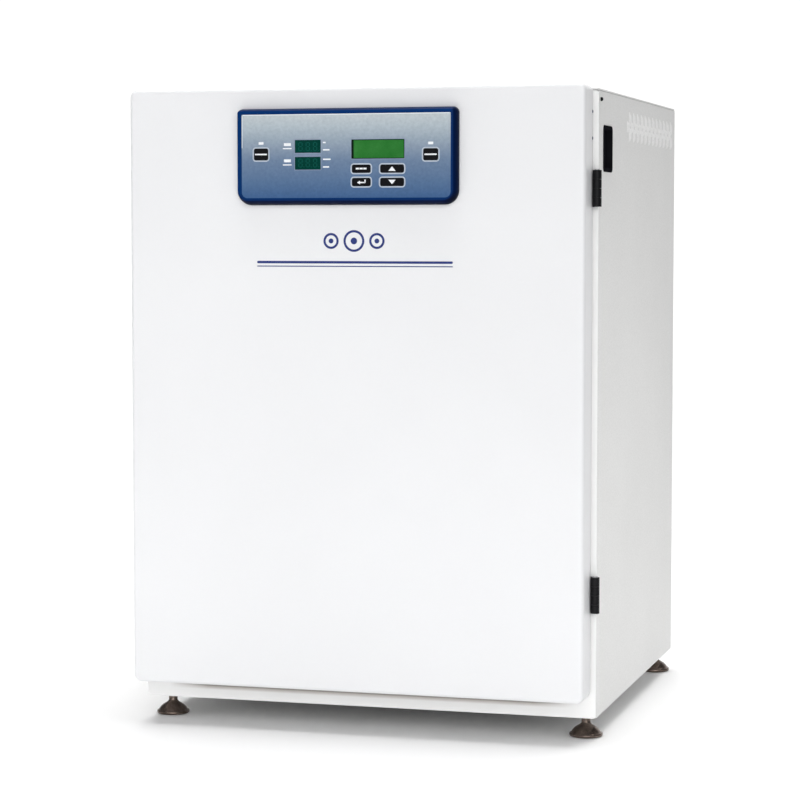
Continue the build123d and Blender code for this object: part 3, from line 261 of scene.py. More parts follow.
def frame_enamel(name, low_z):
    """Door-coloured enamel with a painted shadow: a dark line low on the frame, just under the
    door, faded out towards both ends.
    """
    s = Shader(name, Specular_IOR_Level=0.4)
    height = s.span(s.axis("Z"), low_z, low_z + 0.03, 0.0, 1.0)
    ends = s.add(s.span(s.axis("X"), 0.24, 0.3, 0.0, 1.0),
                 s.span(s.axis("X"), -0.24, -0.3, 0.0, 1.0))
    # Painted shadow: the shade of the door's overhang, a dark band about 17 to 26 mm above the
    # frame's lower edge.
    door_shadow_line = s.ramp(height, [
        (0.0, (1, 1, 1, 1)), (0.42, (0.97, 0.965, 0.96, 1)), (0.56, (0.6, 0.56, 0.53, 1)),
        (0.65, (0.22, 0.19, 0.17, 1)), (0.76, (0.3, 0.28, 0.26, 1)), (0.86, (1, 1, 1, 1)),
    ])
    patch = s.noise(30.0)
    paint = s.ramp(patch, [(0.3, (0.95, 0.95, 0.945, 1)), (0.7, (0.965, 0.965, 0.96, 1))])
    s.colour(s.multiply(paint, s.to_white(door_shadow_line, ends)))
    s.roughness(s.span(patch, 0.3, 0.7, 0.36, 0.44))
    s.bump(s.noise(420.0, 3.0), 0.12, 0.0002)
    return s.mat


def screen(name, dark, light, scale, glow):
    """Display window: tinted panel behind clear plastic, with a fine cell pattern."""
    s = Shader(name, Specular_IOR_Level=0.05)
    wave = s.node("ShaderNodeTexVoronoi", feature="F1")
    wave.inputs["Scale"].default_value = scale
    s.link(s.coords.outputs["Object"], wave.inputs["Vector"])
    cloud = s.noise(45.0, 3.0)
    base = s.ramp(cloud, [(0.3, dark), (0.7, light)])
    cells = s.ramp(wave.outputs["Distance"], [(0.0, (1, 1, 1, 1)), (0.8, (0.82, 0.82, 0.82, 1))])
    mixed = s.multiply(base, cells)
    s.colour(mixed)
    # The window colour is also emitted at strength glow; on the unlit digit windows this is a
    # painted glow.
    s.link(mixed, s.bsdf.inputs["Emission Color"])
    s.bsdf.inputs["Emission Strength"].default_value = glow
    s.roughness(s.span(cloud, 0.3, 0.7, 0.2, 0.3))
    return s.mat


def door_glass(name):
    """Clear greenish glass with faint smears."""
    s = Shader(name, Transmission_Weight=1.0, IOR=1.45)
    smear = s.noise(14.0, 3.0)
    s.colour(s.ramp(smear, [(0.3, (0.86, 0.94, 0.91, 1)), (0.7, (0.93, 0.98, 0.96, 1))]))
    s.roughness(s.span(smear, 0.3, 0.7, 0.01, 0.04))
    return s.mat


def wool(name):
    """Fibrous insulation board."""
    s = Shader(name)
    fibre = s.noise(300.0, 6.0, 0.8, (1.0, 1.0, 6.0))
    s.colour(s.ramp(fibre, [(0.3, (0.42, 0.36, 0.22, 1)), (0.7, (0.72, 0.66, 0.48, 1))]))
    s.roughness(s.span(fibre, 0.2, 0.8, 0.85, 1.0))
    s.bump(fibre, 0.8, 0.001)
    return s.mat


film_low, film_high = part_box("panel_overlay")
MATERIALS = {
    "powder_white": powder_coat("powder_white_paint", (0.76, 0.76, 0.752, 1)),
    "door_white": gloss_paint("door_enamel", (0.875, 0.88, 0.895, 1)),
    "stainless": brushed("brushed_stainless", (0.66, 0.66, 0.655, 1), 0.3, (3.0, 3.0, 260.0)),
    "galvanised": brushed("galvanised_sheet", (0.55, 0.56, 0.57, 1), 0.45, (40.0, 40.0, 40.0)),
    "black_plastic": plain_finish("black_moulding", srgb(11, 11, 13), 0.5, 0.12, 80, 0.25, 1200,
                                  0.0002, Specular_IOR_Level=0.05),
    "pod_blue": bezel_paint("pod_blue_gloss"),
    "film_blue": overlay_film("panel_film", film_low.z, film_high.z),
    "lcd_green": screen("lcd_panel", srgb(42, 116, 48), srgb(54, 128, 58), 900.0, 0.06),
    # Unlit digit windows: their emission of 0.01 is a painted glow.
    "led_window": screen("led_filter", srgb(1, 58, 50), srgb(3, 68, 60), 700.0, 0.01),
    "key_black": plain_finish("key_rubber", srgb(12, 12, 16), 0.45, 0.15, 200, 0.15, 1500, 0.0001,
                              Specular_IOR_Level=0.1),
    "seal_grey": plain_finish("seal_rubber", srgb(150, 150, 152), 0.65, 0.08, 50, 0.2, 900, 0.0002),
    "silicone": plain_finish("silicone_rubber", srgb(214, 212, 206), 0.5, 0.05, 60, 0.15, 700,
                             0.0002, Subsurface_Weight=0.1),
    "mineral_wool": wool("mineral_wool_board"),
    "heater_orange": plain_finish("heater_silicone", srgb(190, 84, 38), 0.6, 0.08, 60, 0.4, 500,
                                  0.0003),
    "door_glass": door_glass("door_glass_clear"),
    "foot_metal": cast_metal("foot_bronze_black", srgb(80, 70, 64), srgb(134, 119, 110), 0.2),
    "pcb_green": plain_finish("circuit_board", srgb(24, 84, 48), 0.4, 0.2, 220, 0.3, 900, 0.0002),
    "filter_white": plain_finish("filter_paper", srgb(232, 231, 224), 0.85, 0.05, 90, 0.3, 900,
                                 0.0003),
    "motor_dark": plain_finish("motor_paint", srgb(52, 52, 56), 0.45, 0.1, 90, 0.3, 700, 0.0003),
    "brass": brushed("turned_brass", (0.72, 0.52, 0.24, 1), 0.28, (60.0, 900.0, 60.0)),
    "hinge_black": plain_finish("hinge_satin_black", srgb(14, 14, 17), 0.45, 0.15, 90, 0.3, 700,
                                0.0002, Specular_IOR_Level=0.2),
}
PRINT_WHITE = plain_finish("print_white", srgb(240, 243, 247), 0.5, 0.03, 300, 0.1, 1500, 0.00005)
PRINT_RING = plain_finish("print_pale_blue", srgb(186, 196, 210), 0.45, 0.04, 300, 0.1, 1500,
                          0.00005)
PRINT_EDGE = plain_finish("print_mist_blue", srgb(136, 152, 178), 0.45, 0.04, 300, 0.1, 1500,
                          0.00005)
PRINT_BLUE = plain_finish("print_deep_blue", srgb(24, 46, 120), 0.35, 0.06, 120, 0.1, 900, 0.00005)
BLUED_STEEL = plain_finish("blued_steel", srgb(84, 98, 122), 0.35, 0.1, 300, 0.1, 1500, 0.00005,
                           Metallic=0.6)
SEGMENT = plain_finish("led_ghost_segment", srgb(6, 78, 68), 0.5, 0.1, 400, 0.1, 1500, 0.00005,
                       Specular_IOR_Level=0.05)
# Dark surround of the text display: a real mask, with a painted shade band on its left side.
SCREEN_MASK_AND_SHADE = plain_finish("screen_mask_and_painted_shade", srgb(10, 28, 18), 0.5, 0.1, 300, 0.1, 1500, 0.00005,
                           Specular_IOR_Level=0.05)

# Painted highlight: the hoods are pressed from the side panels yet get a lighter coat (0.92 against
# 0.76), standing in for the front light they catch.
LOUVRE_HIGHLIGHT_PAINT = powder_coat("louvre_painted_highlight", (0.92, 0.92, 0.915, 1))
NODE_PAINTS = {
    "front_frame": frame_enamel("frame_enamel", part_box("front_frame")[0].z),
    "switch_bezel": plain_finish("switch_frame_black", srgb(26, 26, 30), 0.6, 0.12, 80, 0.25, 1200,
                                 0.0002, Specular_IOR_Level=0.0),
    "power_rocker": plain_finish("rocker_black", srgb(74, 72, 76), 0.4, 0.12, 80, 0.2, 1200, 0.0002,
                                 Specular_IOR_Level=0.2),
}

for row in frame["record"]["subparts"]:
    for slot in NODES[row["node"]].material_slots:
        slot.material = MATERIALS[row["material_slot"]]


def add_special_paints():
    """Finishes that belong to one node only."""
    for node, material in NODE_PAINTS.items():
        for slot in NODES[node].material_slots:
            slot.material = material


# ---------------------------------------------------------------- mesh tools
def make_piece(name, bm, material, body, smooth_angle=35.0):
    """Finishes a mesh as a piece that rides on a body."""
    bmesh.ops.recalc_face_normals(bm, faces=bm.faces)
    mesh = bpy.data.meshes.new(name)
    bm.to_mesh(mesh)
    bm.free()
    piece = bpy.data.objects.new(name, mesh)
    bpy.context.scene.collection.objects.link(piece)
    mesh.materials.append(material)
    for face in mesh.polygons:
        face.use_smooth = True
    with bpy.context.temp_override(object=piece, active_object=piece, selected_objects=[piece],
                                   selected_editable_objects=[piece]):
        bpy.ops.object.shade_smooth_by_angle(angle=math.radians(smooth_angle))
    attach(piece, body)
    return piece


def rounded(xc, zc, w, h, r, steps=6):
    """Outline of a rounded rectangle in X and Z, anticlockwise."""
    points = []
    corners = ((1, 1, 0), (-1, 1, 90), (-1, -1, 180), (1, -1, 270))
    for sx, sz, start in corners:
        cx, cz = xc + sx * (w / 2 - r), zc + sz * (h / 2 - r)
        for i in range(steps + 1):
            a = math.radians(start + 90 * i / steps)
            points.append((cx + r * math.cos(a), cz + r * math.sin(a)))
    return points


def bridge(bm, a, b):
    """Faces between two closed rows of as many vertices."""
    for i in range(len(a)):
        j = (i + 1) % len(a)
        bm.faces.new((a[i], a[j], b[j], b[i]))


def slab(bm, outline, y_front, y_back):
    """Solid between two planes of constant Y, with the given outline."""
    back = [bm.verts.new((x, y_back, z)) for x, z in outline]
    front = [bm.verts.new((x, y_front, z)) for x, z in outline]
    bridge(bm, back, front)
    bm.faces.new(back)
    bm.faces.new(list(reversed(front)))


def ring(bm, outer, inner, y_front, y_back):
    """Flat frame between two outlines that have the same number of points."""
    rows = [[bm.verts.new((x, y, z)) for x, z in outline]
            for outline in (outer, inner) for y in (y_front, y_back)]
    outer_front, outer_back, inner_front, inner_back = rows
    bridge(bm, outer_front, inner_front)
    bridge(bm, inner_front, inner_back)
    bridge(bm, inner_back, outer_back)
    bridge(bm, outer_back, outer_front)


def lathe(bm, profile, centre, axis, steps=48):
    """Surface of revolution; profile is (radius, distance along axis) pairs, closed at the axis."""
    axis = Vector(axis).normalized()
    side = axis.orthogonal().normalized()
    other = axis.cross(side)
    rows = []
    for radius, along in profile:
        base = Vector(centre) + axis * along
        if radius < 1e-7:
            rows.append([bm.verts.new(base)])
            continue
        angles = [2 * math.pi * i / steps for i in range(steps)]
        rows.append([bm.verts.new(base + (side * math.cos(a) + other * math.sin(a)) * radius)
                     for a in angles])
    for a, b in zip(rows, rows[1:]):
        for i in range(steps):
            j = (i + 1) % steps
            if len(a) == 1 and len(b) == 1:
                continue
            if len(a) == 1:
                bm.faces.new((a[0], b[i], b[j]))
            elif len(b) == 1:
                bm.faces.new((a[i], b[0], a[j]))
            else:
                bm.faces.new((a[i], b[i], b[j], a[j]))


def middle(node):
    """Centre of a node's box."""
    low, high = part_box(node)
    return (low + high) / 2


def size(node):
    """Side lengths of a node's box."""
    low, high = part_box(node)
    return high - low


# ---------------------------------------------------------------- camera, light, floor
CAMERA_PLACE = (0.9999, -3.6292, 0.7031)
CAMERA_DROP, CAMERA_TURN = 3.858, 15.893       # degrees below level, degrees to the left
CAMERA_LENS, CAMERA_SENSOR = 112.18, 36.0      # millimetres
WORLD_TONES = ((0.0, 0.4), (0.3, 0.24), (0.5, 0.13), (0.8, 0.14), (0.925, 1.0))  # front to back
WORLD_STRENGTH = 1.08
FLOOR_HALF = (3.2, 3.6, 1.0)
FLOOR_MIDDLE = (-1.85, -1.4, 0.0)


def add_camera():
    """Camera at the photograph's viewing angle."""
    data = bpy.data.cameras.new("camera")
    data.lens = CAMERA_LENS
    data.sensor_width = CAMERA_SENSOR
    data.clip_end = 60.0
    camera = bpy.data.objects.new("camera", data)
    camera.location = CAMERA_PLACE
    camera.rotation_euler = (math.radians(90 - CAMERA_DROP), 0.0, math.radians(CAMERA_TURN))
    bpy.context.scene.collection.objects.link(camera)
    bpy.context.scene.camera = camera


def add_sun(name, direction, spread, strength):
    """Very soft distant light; direction points from the object to the light."""
    data = bpy.data.lights.new(name, "SUN")
    data.angle = math.radians(spread)
    data.energy = strength
    light = bpy.data.objects.new(name, data)
    light.rotation_euler = (-Vector(direction)).to_track_quat("-Z", "Y").to_euler()
    bpy.context.scene.collection.objects.link(light)


def add_area(name, place, target, width, power):
    """Soft panel outside the picture, not seen by the camera itself."""
    data = bpy.data.lights.new(name, "AREA")
    data.size = width
    data.energy = power
    light = bpy.data.objects.new(name, data)
    light.location = place
    light.rotation_euler = (Vector(target) - Vector(place)).to_track_quat("-Z", "Y").to_euler()
    light.visible_camera = False
    light.visible_glossy = False
    bpy.context.scene.collection.objects.link(light)


def add_world():
    """Soft fill from in front, dim sides, a bright wall behind; the camera itself sees white."""
    world = bpy.data.worlds.new("studio_world")
    world.use_nodes = True
    tree = world.node_tree
    coords = tree.nodes.new("ShaderNodeTexCoord")
    split = tree.nodes.new("ShaderNodeSeparateXYZ")
    place = tree.nodes.new("ShaderNodeMapRange")
    place.inputs["From Min"].default_value = -1.0
    ramp = tree.nodes.new("ShaderNodeValToRGB")
    elements = ramp.color_ramp.elements
    while len(elements) < len(WORLD_TONES):
        elements.new(0.5)
    for element, (where, tone) in zip(elements, WORLD_TONES):
        element.position = where
        element.color = (tone, tone, tone, 1)
    tree.links.new(coords.outputs["Generated"], split.inputs["Vector"])
    tree.links.new(split.outputs["Y"], place.inputs["Value"])
    tree.links.new(place.outputs["Result"], ramp.inputs["Fac"])
    background = tree.nodes["Background"]
    tree.links.new(ramp.outputs["Color"], background.inputs["Color"])
    background.inputs["Strength"].default_value = WORLD_STRENGTH
    backdrop = tree.nodes.new("ShaderNodeBackground")
    backdrop.inputs["Strength"].default_value = WORLD_STRENGTH
    seen = tree.nodes.new("ShaderNodeLightPath")
    choice = tree.nodes.new("ShaderNodeMixShader")
    tree.links.new(seen.outputs["Is Camera Ray"], choice.inputs["Fac"])
    tree.links.new(background.outputs["Background"], choice.inputs[1])
    tree.links.new(backdrop.outputs["Background"], choice.inputs[2])
    tree.links.new(choice.outputs["Shader"], tree.nodes["World Output"].inputs["Surface"])
    backdrop.inputs["Color"].default_value = (1, 1, 1, 1)
    bpy.context.scene.world = world


def add_studio():
    """Lights, world and a large pale floor."""
    scene = bpy.context.scene
    scene.view_settings.view_transform = "Standard"
    add_world()
    add_sun("top_light", (0.0, 0.08, 1.0), 46, 2.75)
    add_sun("key_light", (0.3, -1.0, 0.34), 45, 1.12)
    add_area("side_light", (0.88, -0.2, 0.5), (0.33, 0.0, 0.48), 0.45, 0.62)
    bm = bmesh.new()
    bmesh.ops.create_grid(bm, x_segments=24, y_segments=24, size=1.0)
    bmesh.ops.scale(bm, verts=bm.verts, vec=FLOOR_HALF)
    bmesh.ops.translate(bm, verts=bm.verts, vec=FLOOR_MIDDLE)
    mesh = bpy.data.meshes.new("studio_floor")
    bm.to_mesh(mesh)
    bm.free()
    floor = bpy.data.objects.new("studio_floor", mesh)
    scene.collection.objects.link(floor)
    mesh.materials.append(plain_finish("floor_paper", (0.93, 0.93, 0.93, 1), 0.9, 0.01, 2.0, 0.05,
                                       60, 0.0004))


# ---------------------------------------------------------------- control pod print
FILM_Y = film_low.y                    # front face of the film
PRINT_T = 0.08 * MM                    # how far a print stands proud
PRINT_SINK = 0.02 * MM                 # how far it reaches into the face
POD_R_TOP, POD_R_BOTTOM, FILM_R_TOP, FILM_R_BOTTOM = 8.0, 20.0, 1.0, 8.0
POD_SHOULDER = ((0.0, 14.0), (0.0, 9.6), (0.5, 7.6), (1.5, 5.4),
                (2.8, 3.4), (4.2, 1.7), (5.4, 0.6), (6.4, 0.0))  # (inset, depth) in mm
POD_LEFT_SHARE, POD_TOP_SHARE = 0.45, 0.6      # the shoulder is narrower on these two sides
FILM_LAP = 0.12                        # the frame's lip laps this much over the film, in mm

KEY_NODES = ("key_left", "key_right", "key_menu", "key_enter", "key_up", "key_down")
FLANGE = 2.4 * MM                      # the hidden flange is this much wider than the cap
KEY_SIZES = {n: (size(n).x - FLANGE, size(n).z - FLANGE) for n in KEY_NODES}

lcd_c, lcd_s = middle("lcd_module"), size("lcd_module")
LCD_W, LCD_H = lcd_s.x - 6 * MM, lcd_s.z - 3 * MM
led_low, led_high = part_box("led_displays")
LED_W = led_high.x - led_low.x - 4 * MM
LED_XC = (led_low.x + led_high.x) / 2
LED_H = 18.0 * MM
LED_ZS = (led_high.z - 1 * MM - LED_H / 2, led_low.z + 1 * MM + LED_H / 2)
WINDOWS = [(lcd_c.x, lcd_c.z, LCD_W, LCD_H)] + [(LED_XC, z, LED_W, LED_H) for z in LED_ZS]
WINDOW_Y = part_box("lcd_module")[0].y


def printed(name, outlines, material, body="outer_door", face_y=None):
    """Thin printed marks on the film or on a key."""
    face = FILM_Y if face_y is None else face_y
    bm = bmesh.new()
    for outline in outlines:
        slab(bm, outline, face - PRINT_T, face + PRINT_SINK)
    return make_piece(name, bm, material, body)


def rect(xc, zc, w, h, r=0.2 * MM):
    return rounded(xc, zc, w, h, r, 3)


def pod_loop(low, high, r_top, r_bottom, steps=8):
    """Outline of a panel whose upper and lower corners have different radii."""
    points = []
    corners = ((high.x, high.z, -1, -1, 0, r_top), (low.x, high.z, 1, -1, 90, r_top),
               (low.x, low.z, 1, 1, 180, r_bottom), (high.x, low.z, -1, 1, 270, r_bottom))
    for x, z, sx, sz, start, r in corners:
        for i in range(steps + 1):
            a = math.radians(start + 90 * i / steps)
            points.append((x + sx * r + r * math.cos(a), z + sz * r + r * math.sin(a)))
    return points


def add_pod_frame():
    """Moulded frame of the control pod with a broad rounded shoulder."""
    low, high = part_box("panel_bezel")
    loops = []
    for inset, depth in POD_SHOULDER:
        near = low + Vector((POD_LEFT_SHARE * inset * MM, 0, inset * MM))
        far = high - Vector((inset * MM, 0, POD_TOP_SHARE * inset * MM))
        outline = pod_loop(near, far, (POD_R_TOP - inset) * MM, (POD_R_BOTTOM - inset) * MM)
        loops.append((outline, low.y + depth * MM))
    lap = Vector((FILM_LAP * MM, 0, FILM_LAP * MM))
    lip = pod_loop(film_low + lap, film_high - lap, FILM_R_TOP * MM, FILM_R_BOTTOM * MM)
    loops += [(lip, low.y), (lip, film_low.y + 0.05 * MM)]
    bm = bmesh.new()
    rows = [[bm.verts.new((x, y, z)) for x, z in outline] for outline, y in loops]
    for a, b in zip(rows, rows[1:] + rows[:1]):
        bridge(bm, a, b)
    piece = make_piece("pod_frame", bm, MATERIALS["pod_blue"], "outer_door", 50)
    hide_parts("panel_bezel")


def add_key_rings():
    """Pale printed outline round each key and each display window."""
    bm = bmesh.new()
    for node in KEY_NODES:
        c, s = middle(node), KEY_SIZES[node]
        outer = rounded(c.x, c.z, s[0] + 4.4 * MM, s[1] + 4.4 * MM, 4.6 * MM, 8)
        inner = rounded(c.x, c.z, s[0] + 0.9 * MM, s[1] + 0.9 * MM, 2.8 * MM, 8)
        ring(bm, outer, inner, FILM_Y - PRINT_T, FILM_Y + PRINT_SINK)
    make_piece("key_outline_print", bm, PRINT_RING, "outer_door")
    bm = bmesh.new()
    for xc, zc, w, h in WINDOWS:
        outer = rounded(xc, zc, w + 2.0 * MM, h + 2.0 * MM, 1.0 * MM, 4)
        inner = rounded(xc, zc, w + 0.5 * MM, h + 0.5 * MM, 0.2 * MM, 4)
        ring(bm, outer, inner, FILM_Y - PRINT_T, FILM_Y + PRINT_SINK)
    make_piece("window_outline_print", bm, PRINT_EDGE, "outer_door")


def add_key_symbols():
    """Generic white signs: arrows, a return arrow and plain bars."""
    half_w, half_h = 5.2 * MM, 3.1 * MM
    for node, sign in (("key_up", 1), ("key_down", -1)):
        c, face = middle(node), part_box(node)[0].y
        foot_z = c.z - sign * half_h
        tip = [(c.x - half_w, foot_z), (c.x + half_w, foot_z), (c.x, c.z + sign * half_h)]
        outline = tip if sign > 0 else list(reversed(tip))
        printed(node + "_sign", [outline], PRINT_WHITE, node, face)
    c, face = middle("key_enter"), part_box("key_enter")[0].y
    bar = 0.9 * MM
    shapes = [
        [(c.x - 6.0 * MM, c.z - 0.6 * MM), (c.x - 1.6 * MM, c.z - 3.2 * MM),
         (c.x - 1.6 * MM, c.z + 2.0 * MM)],
        rect(c.x + 2.0 * MM, c.z - 0.6 * MM, 7.4 * MM, 2 * bar),
        rect(c.x + 5.6 * MM, c.z + 1.1 * MM, 2 * bar, 4.4 * MM),
    ]
    printed("key_enter_sign", shapes, PRINT_WHITE, "key_enter", face)
    c, face = middle("key_menu"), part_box("key_menu")[0].y
    shapes = [rect(c.x + dx * MM, c.z + 0.2 * MM, 4.6 * MM, 2.3 * MM)
              for dx in (-5.4, 0.0, 5.4)]
    printed("key_menu_sign", shapes, PRINT_WHITE, "key_menu", face)
    for node in ("key_left", "key_right"):
        c, face = middle(node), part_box(node)[0].y
        bar_sign = rect(c.x, c.z, 17.5 * MM, 2.0 * MM, 0.6 * MM)
        printed(node + "_sign", [bar_sign], PRINT_WHITE, node, face)


def add_indicator_marks():
    """White lamp bars over the side keys and beside the digit windows."""
    marks = []
    for node in ("key_left", "key_right"):
        c = middle(node)
        marks.append(rect(c.x, c.z + 15.3 * MM, 7.2 * MM, 3.6 * MM, 0.5 * MM))
    left = LED_XC - LED_W / 2
    right = LED_XC + LED_W / 2
    right_bars = (((5.4, 4.0), (-4.6, 9.5)), ((4.8, 11.0), (-5.6, 9.0)))  # (height, width) in mm
    for z, right_marks in zip(LED_ZS, right_bars):
        marks.append(rect(left - 11.0 * MM, z + 3.1 * MM, 10.0 * MM, 4.0 * MM, 0.5 * MM))
        marks.append(rect(left - 11.2 * MM, z - 2.5 * MM, 12.8 * MM, 1.5 * MM, 0.4 * MM))
        for dz, w in right_marks:
            marks.append(rect(right + 3.4 * MM + w / 2 * MM, z + dz * MM, w * MM, 2.0 * MM,
                              0.4 * MM))
    printed("indicator_print", marks, PRINT_WHITE)


def add_screen_details():
    """Dark surround of the text display, widened on its left side into a painted shade band, and
    unlit digits in the two windows.
    """
    bm = bmesh.new()
    # Painted shade: the left side of the surround is 3.2 mm wide, against 0.8 mm on the right.
    left_shade_band = 3.2 * MM
    inner_w = LCD_W - left_shade_band - 0.8 * MM
    inner_x = lcd_c.x + (left_shade_band - 0.8 * MM) / 2
    outer = rounded(lcd_c.x, lcd_c.z, LCD_W, LCD_H, 0.2 * MM, 3)
    inner = rounded(inner_x, lcd_c.z, inner_w, LCD_H - 1.8 * MM, 0.2 * MM, 3)
    ring(bm, outer, inner, WINDOW_Y - PRINT_T, WINDOW_Y + PRINT_SINK)
    make_piece("lcd_mask_and_shade_band", bm, SCREEN_MASK_AND_SHADE, "outer_door")
    digit_w, digit_h, bar = 6.4 * MM, 12.4 * MM, 1.5 * MM
    outlines = []
    for zc in LED_ZS:
        for i in range(3):
            xc = LED_XC + (i - 1) * 10.6 * MM
            for k in (-1, 0, 1):
                outlines.append(rect(xc, zc + k * (digit_h - bar) / 2,
                                     digit_w - 2 * bar, bar, 0.3 * MM))
            for sx in (-1, 1):
                for sz in (-1, 1):
                    outlines.append(rect(xc + sx * (digit_w - bar) / 2, zc + sz * digit_h / 4,
                                         bar, digit_h / 2 - 1.2 * bar, 0.3 * MM))
            outlines.append(rect(xc + 5.0 * MM, zc - digit_h / 2 + bar / 2, bar, bar, 0.5 * MM))
    printed("led_ghost_digits", outlines, SEGMENT, face_y=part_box("led_displays")[0].y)


def add_film_edge():
    """Thin white strips along the film's top and left edges."""
    low, high = film_low, film_high
    w = 1.1 * MM
    outlines = [
        rect((low.x + high.x) / 2, high.z - w / 2 - 0.2 * MM, high.x - low.x - 3 * MM, w, 0.2 * MM),
        rect(low.x + w / 2 + 0.2 * MM, high.z - 24 * MM, 0.8 * MM, 44 * MM, 0.2 * MM),
    ]
    printed("film_edge_light", outlines, PRINT_WHITE)


# ---------------------------------------------------------------- generic mark on the door
def add_door_mark():
    """Neutral mark: a row of three round cells over a long double rule."""
    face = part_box("door_skin")[0].y
    xc = -3.5 * MM
    zc = film_low.z - 59.0 * MM
    front, back = face - PRINT_T, face + PRINT_SINK
    band, pitch = 3.2, 33.0
    bm = bmesh.new()
    for i, r in ((-1, 11.0), (0, 15.0), (1, 11.0)):
        x = xc + i * pitch * MM
        outer = rounded(x, zc, 2 * r * MM, 2 * r * MM, r * MM, 12)
        inner = rounded(x, zc, 2 * (r - band) * MM, 2 * (r - band) * MM, (r - band) * MM, 12)
        ring(bm, outer, inner, front, back)
        slab(bm, rounded(x, zc, 0.62 * r * MM, 0.62 * r * MM, 0.31 * r * MM, 8), front, back)
    rule_z = zc - 32.0 * MM
    slab(bm, rect(xc, rule_z + 2.6 * MM, 282 * MM, 3.4 * MM, 1.6 * MM), front, back)
    slab(bm, rect(xc, rule_z - 3.0 * MM, 282 * MM, 1.4 * MM, 0.6 * MM), front, back)
    make_piece("door_mark", bm, PRINT_BLUE, "outer_door")


# ---------------------------------------------------------------- side louvres
LOUVRE_PITCH, LOUVRE_COLUMNS = 31.5, 12
LOUVRE_START = 224.0                   # first column, behind the front of the frame
LOUVRE_ROWS = ((-34.2, 9.6, 0.0, 1.8), (-44.6, 7.6, -0.5, 0.8),
               (-55.2, 9.8, 0.0, 0.8))  # height from the top, half length, shift in pitches, lap


def add_louvres():
    """Forward-tilted hoods pressed out of the side panels over the vent slots."""
    pitch = LOUVRE_PITCH * MM
    first_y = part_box("front_frame")[0].y + LOUVRE_START * MM
    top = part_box("top_cover")[1].z
    for label, panel, sign in (("right", "side_panel_right", 1), ("left", "side_panel_left", -1)):
        low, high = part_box(panel)
        face = high.x if sign > 0 else low.x
        bm = bmesh.new()
        for rise, half_h, shift, lap in LOUVRE_ROWS:
            for i in range(LOUVRE_COLUMNS):
                add_hood(bm, face, sign, first_y + (i + shift) * pitch, top + rise * MM,
                         half_h * MM, lap * MM)
        # The hoods carry the lighter coat, a painted highlight.
        make_piece("vent_louvres_" + label, bm, LOUVRE_HIGHLIGHT_PAINT, "cabinet")


def add_hood(bm, face, sign, y, z, half_h, lap):
    """One hood: flush at its front edge, proud at its rear, a flat lap over the slot's top end."""
    half_w, proud, across, along = 4.2 * MM, 2.4 * MM, 6, 8
    grid = []
    levels = [(-1 + 2 * j / along, 0.0) for j in range(along + 1)] + [(1.0, lap)]
    for v, extra in levels:
        row = []
        for i in range(across + 1):
            u = i / across
            end = max(0.0, 1 - abs(v) ** 4)
            height = proud * (u ** 0.8) * end
            row.append(bm.verts.new((face + sign * (height + 0.05 * MM),
                                     y - half_w + 2 * half_w * u, z + v * half_h + extra)))
        grid.append(row)
    for a, b in zip(grid, grid[1:]):
        for i in range(across):
            bm.faces.new((a[i], a[i + 1], b[i + 1], b[i]))
    back = [row[-1] for row in grid]
    foot = [bm.verts.new((face - sign * 0.2 * MM, v.co.y, v.co.z)) for v in back]
    for i in range(len(back) - 1):
        bm.faces.new((back[i], back[i + 1], foot[i + 1], foot[i]))


# ---------------------------------------------------------------- screws, seals, fittings
def add_screws():
    """Dome heads with a socket in the middle, in place of the plain CAD heads."""
    body_low, body_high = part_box("side_panel_left")[0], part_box("side_panel_right")[1]
    edge = 20 * MM
    bm = bmesh.new()
    places = []
    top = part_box("top_cover")[1].z
    front_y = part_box("front_frame")[0].y
    back_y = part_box("back_panel")[1].y
    for x, sign in ((body_low.x, -1), (body_high.x, 1)):
        places.append(((x, front_y + 14.6 * MM, top - 14.5 * MM), (sign, 0, 0)))
    for x in (body_low.x + edge, (body_low.x + body_high.x) / 2, body_high.x - edge):
        for drop in (835.0, 425.0, 20.0):
            places.append(((x, back_y, top - drop * MM), (0, 1, 0)))
    for place, axis in places:
        lathe(bm, [(0, 1.4 * MM), (1.0 * MM, 1.4 * MM), (1.15 * MM, 3.1 * MM), (1.9 * MM, 2.9 * MM),
                   (2.6 * MM, 2.1 * MM), (2.8 * MM, 0.9 * MM), (2.8 * MM, 0.0),
                   (0, 0.0)], place, axis, 24)
    piece = make_piece("panel_screw_heads", bm, MATERIALS["hinge_black"], "cabinet")
    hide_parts("panel_screws")


def add_seam_screws():
    """Two small blued screws on the hinge side of the door, near its rear edge."""
    low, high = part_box("door_skin")
    bm = bmesh.new()
    for drop in (36.5, 72.5):
        place = (high.x, high.y - 3.0 * MM, high.z - drop * MM)
        lathe(bm, [(0, 0.3 * MM), (0.7 * MM, 0.3 * MM), (0.8 * MM, 0.9 * MM), (1.8 * MM, 0.7 * MM),
                   (2.3 * MM, 0.2 * MM), (2.3 * MM, 0.0), (0, 0.0)], place, (1, 0, 0), 20)
    make_piece("door_seam_screws", bm, BLUED_STEEL, "outer_door")


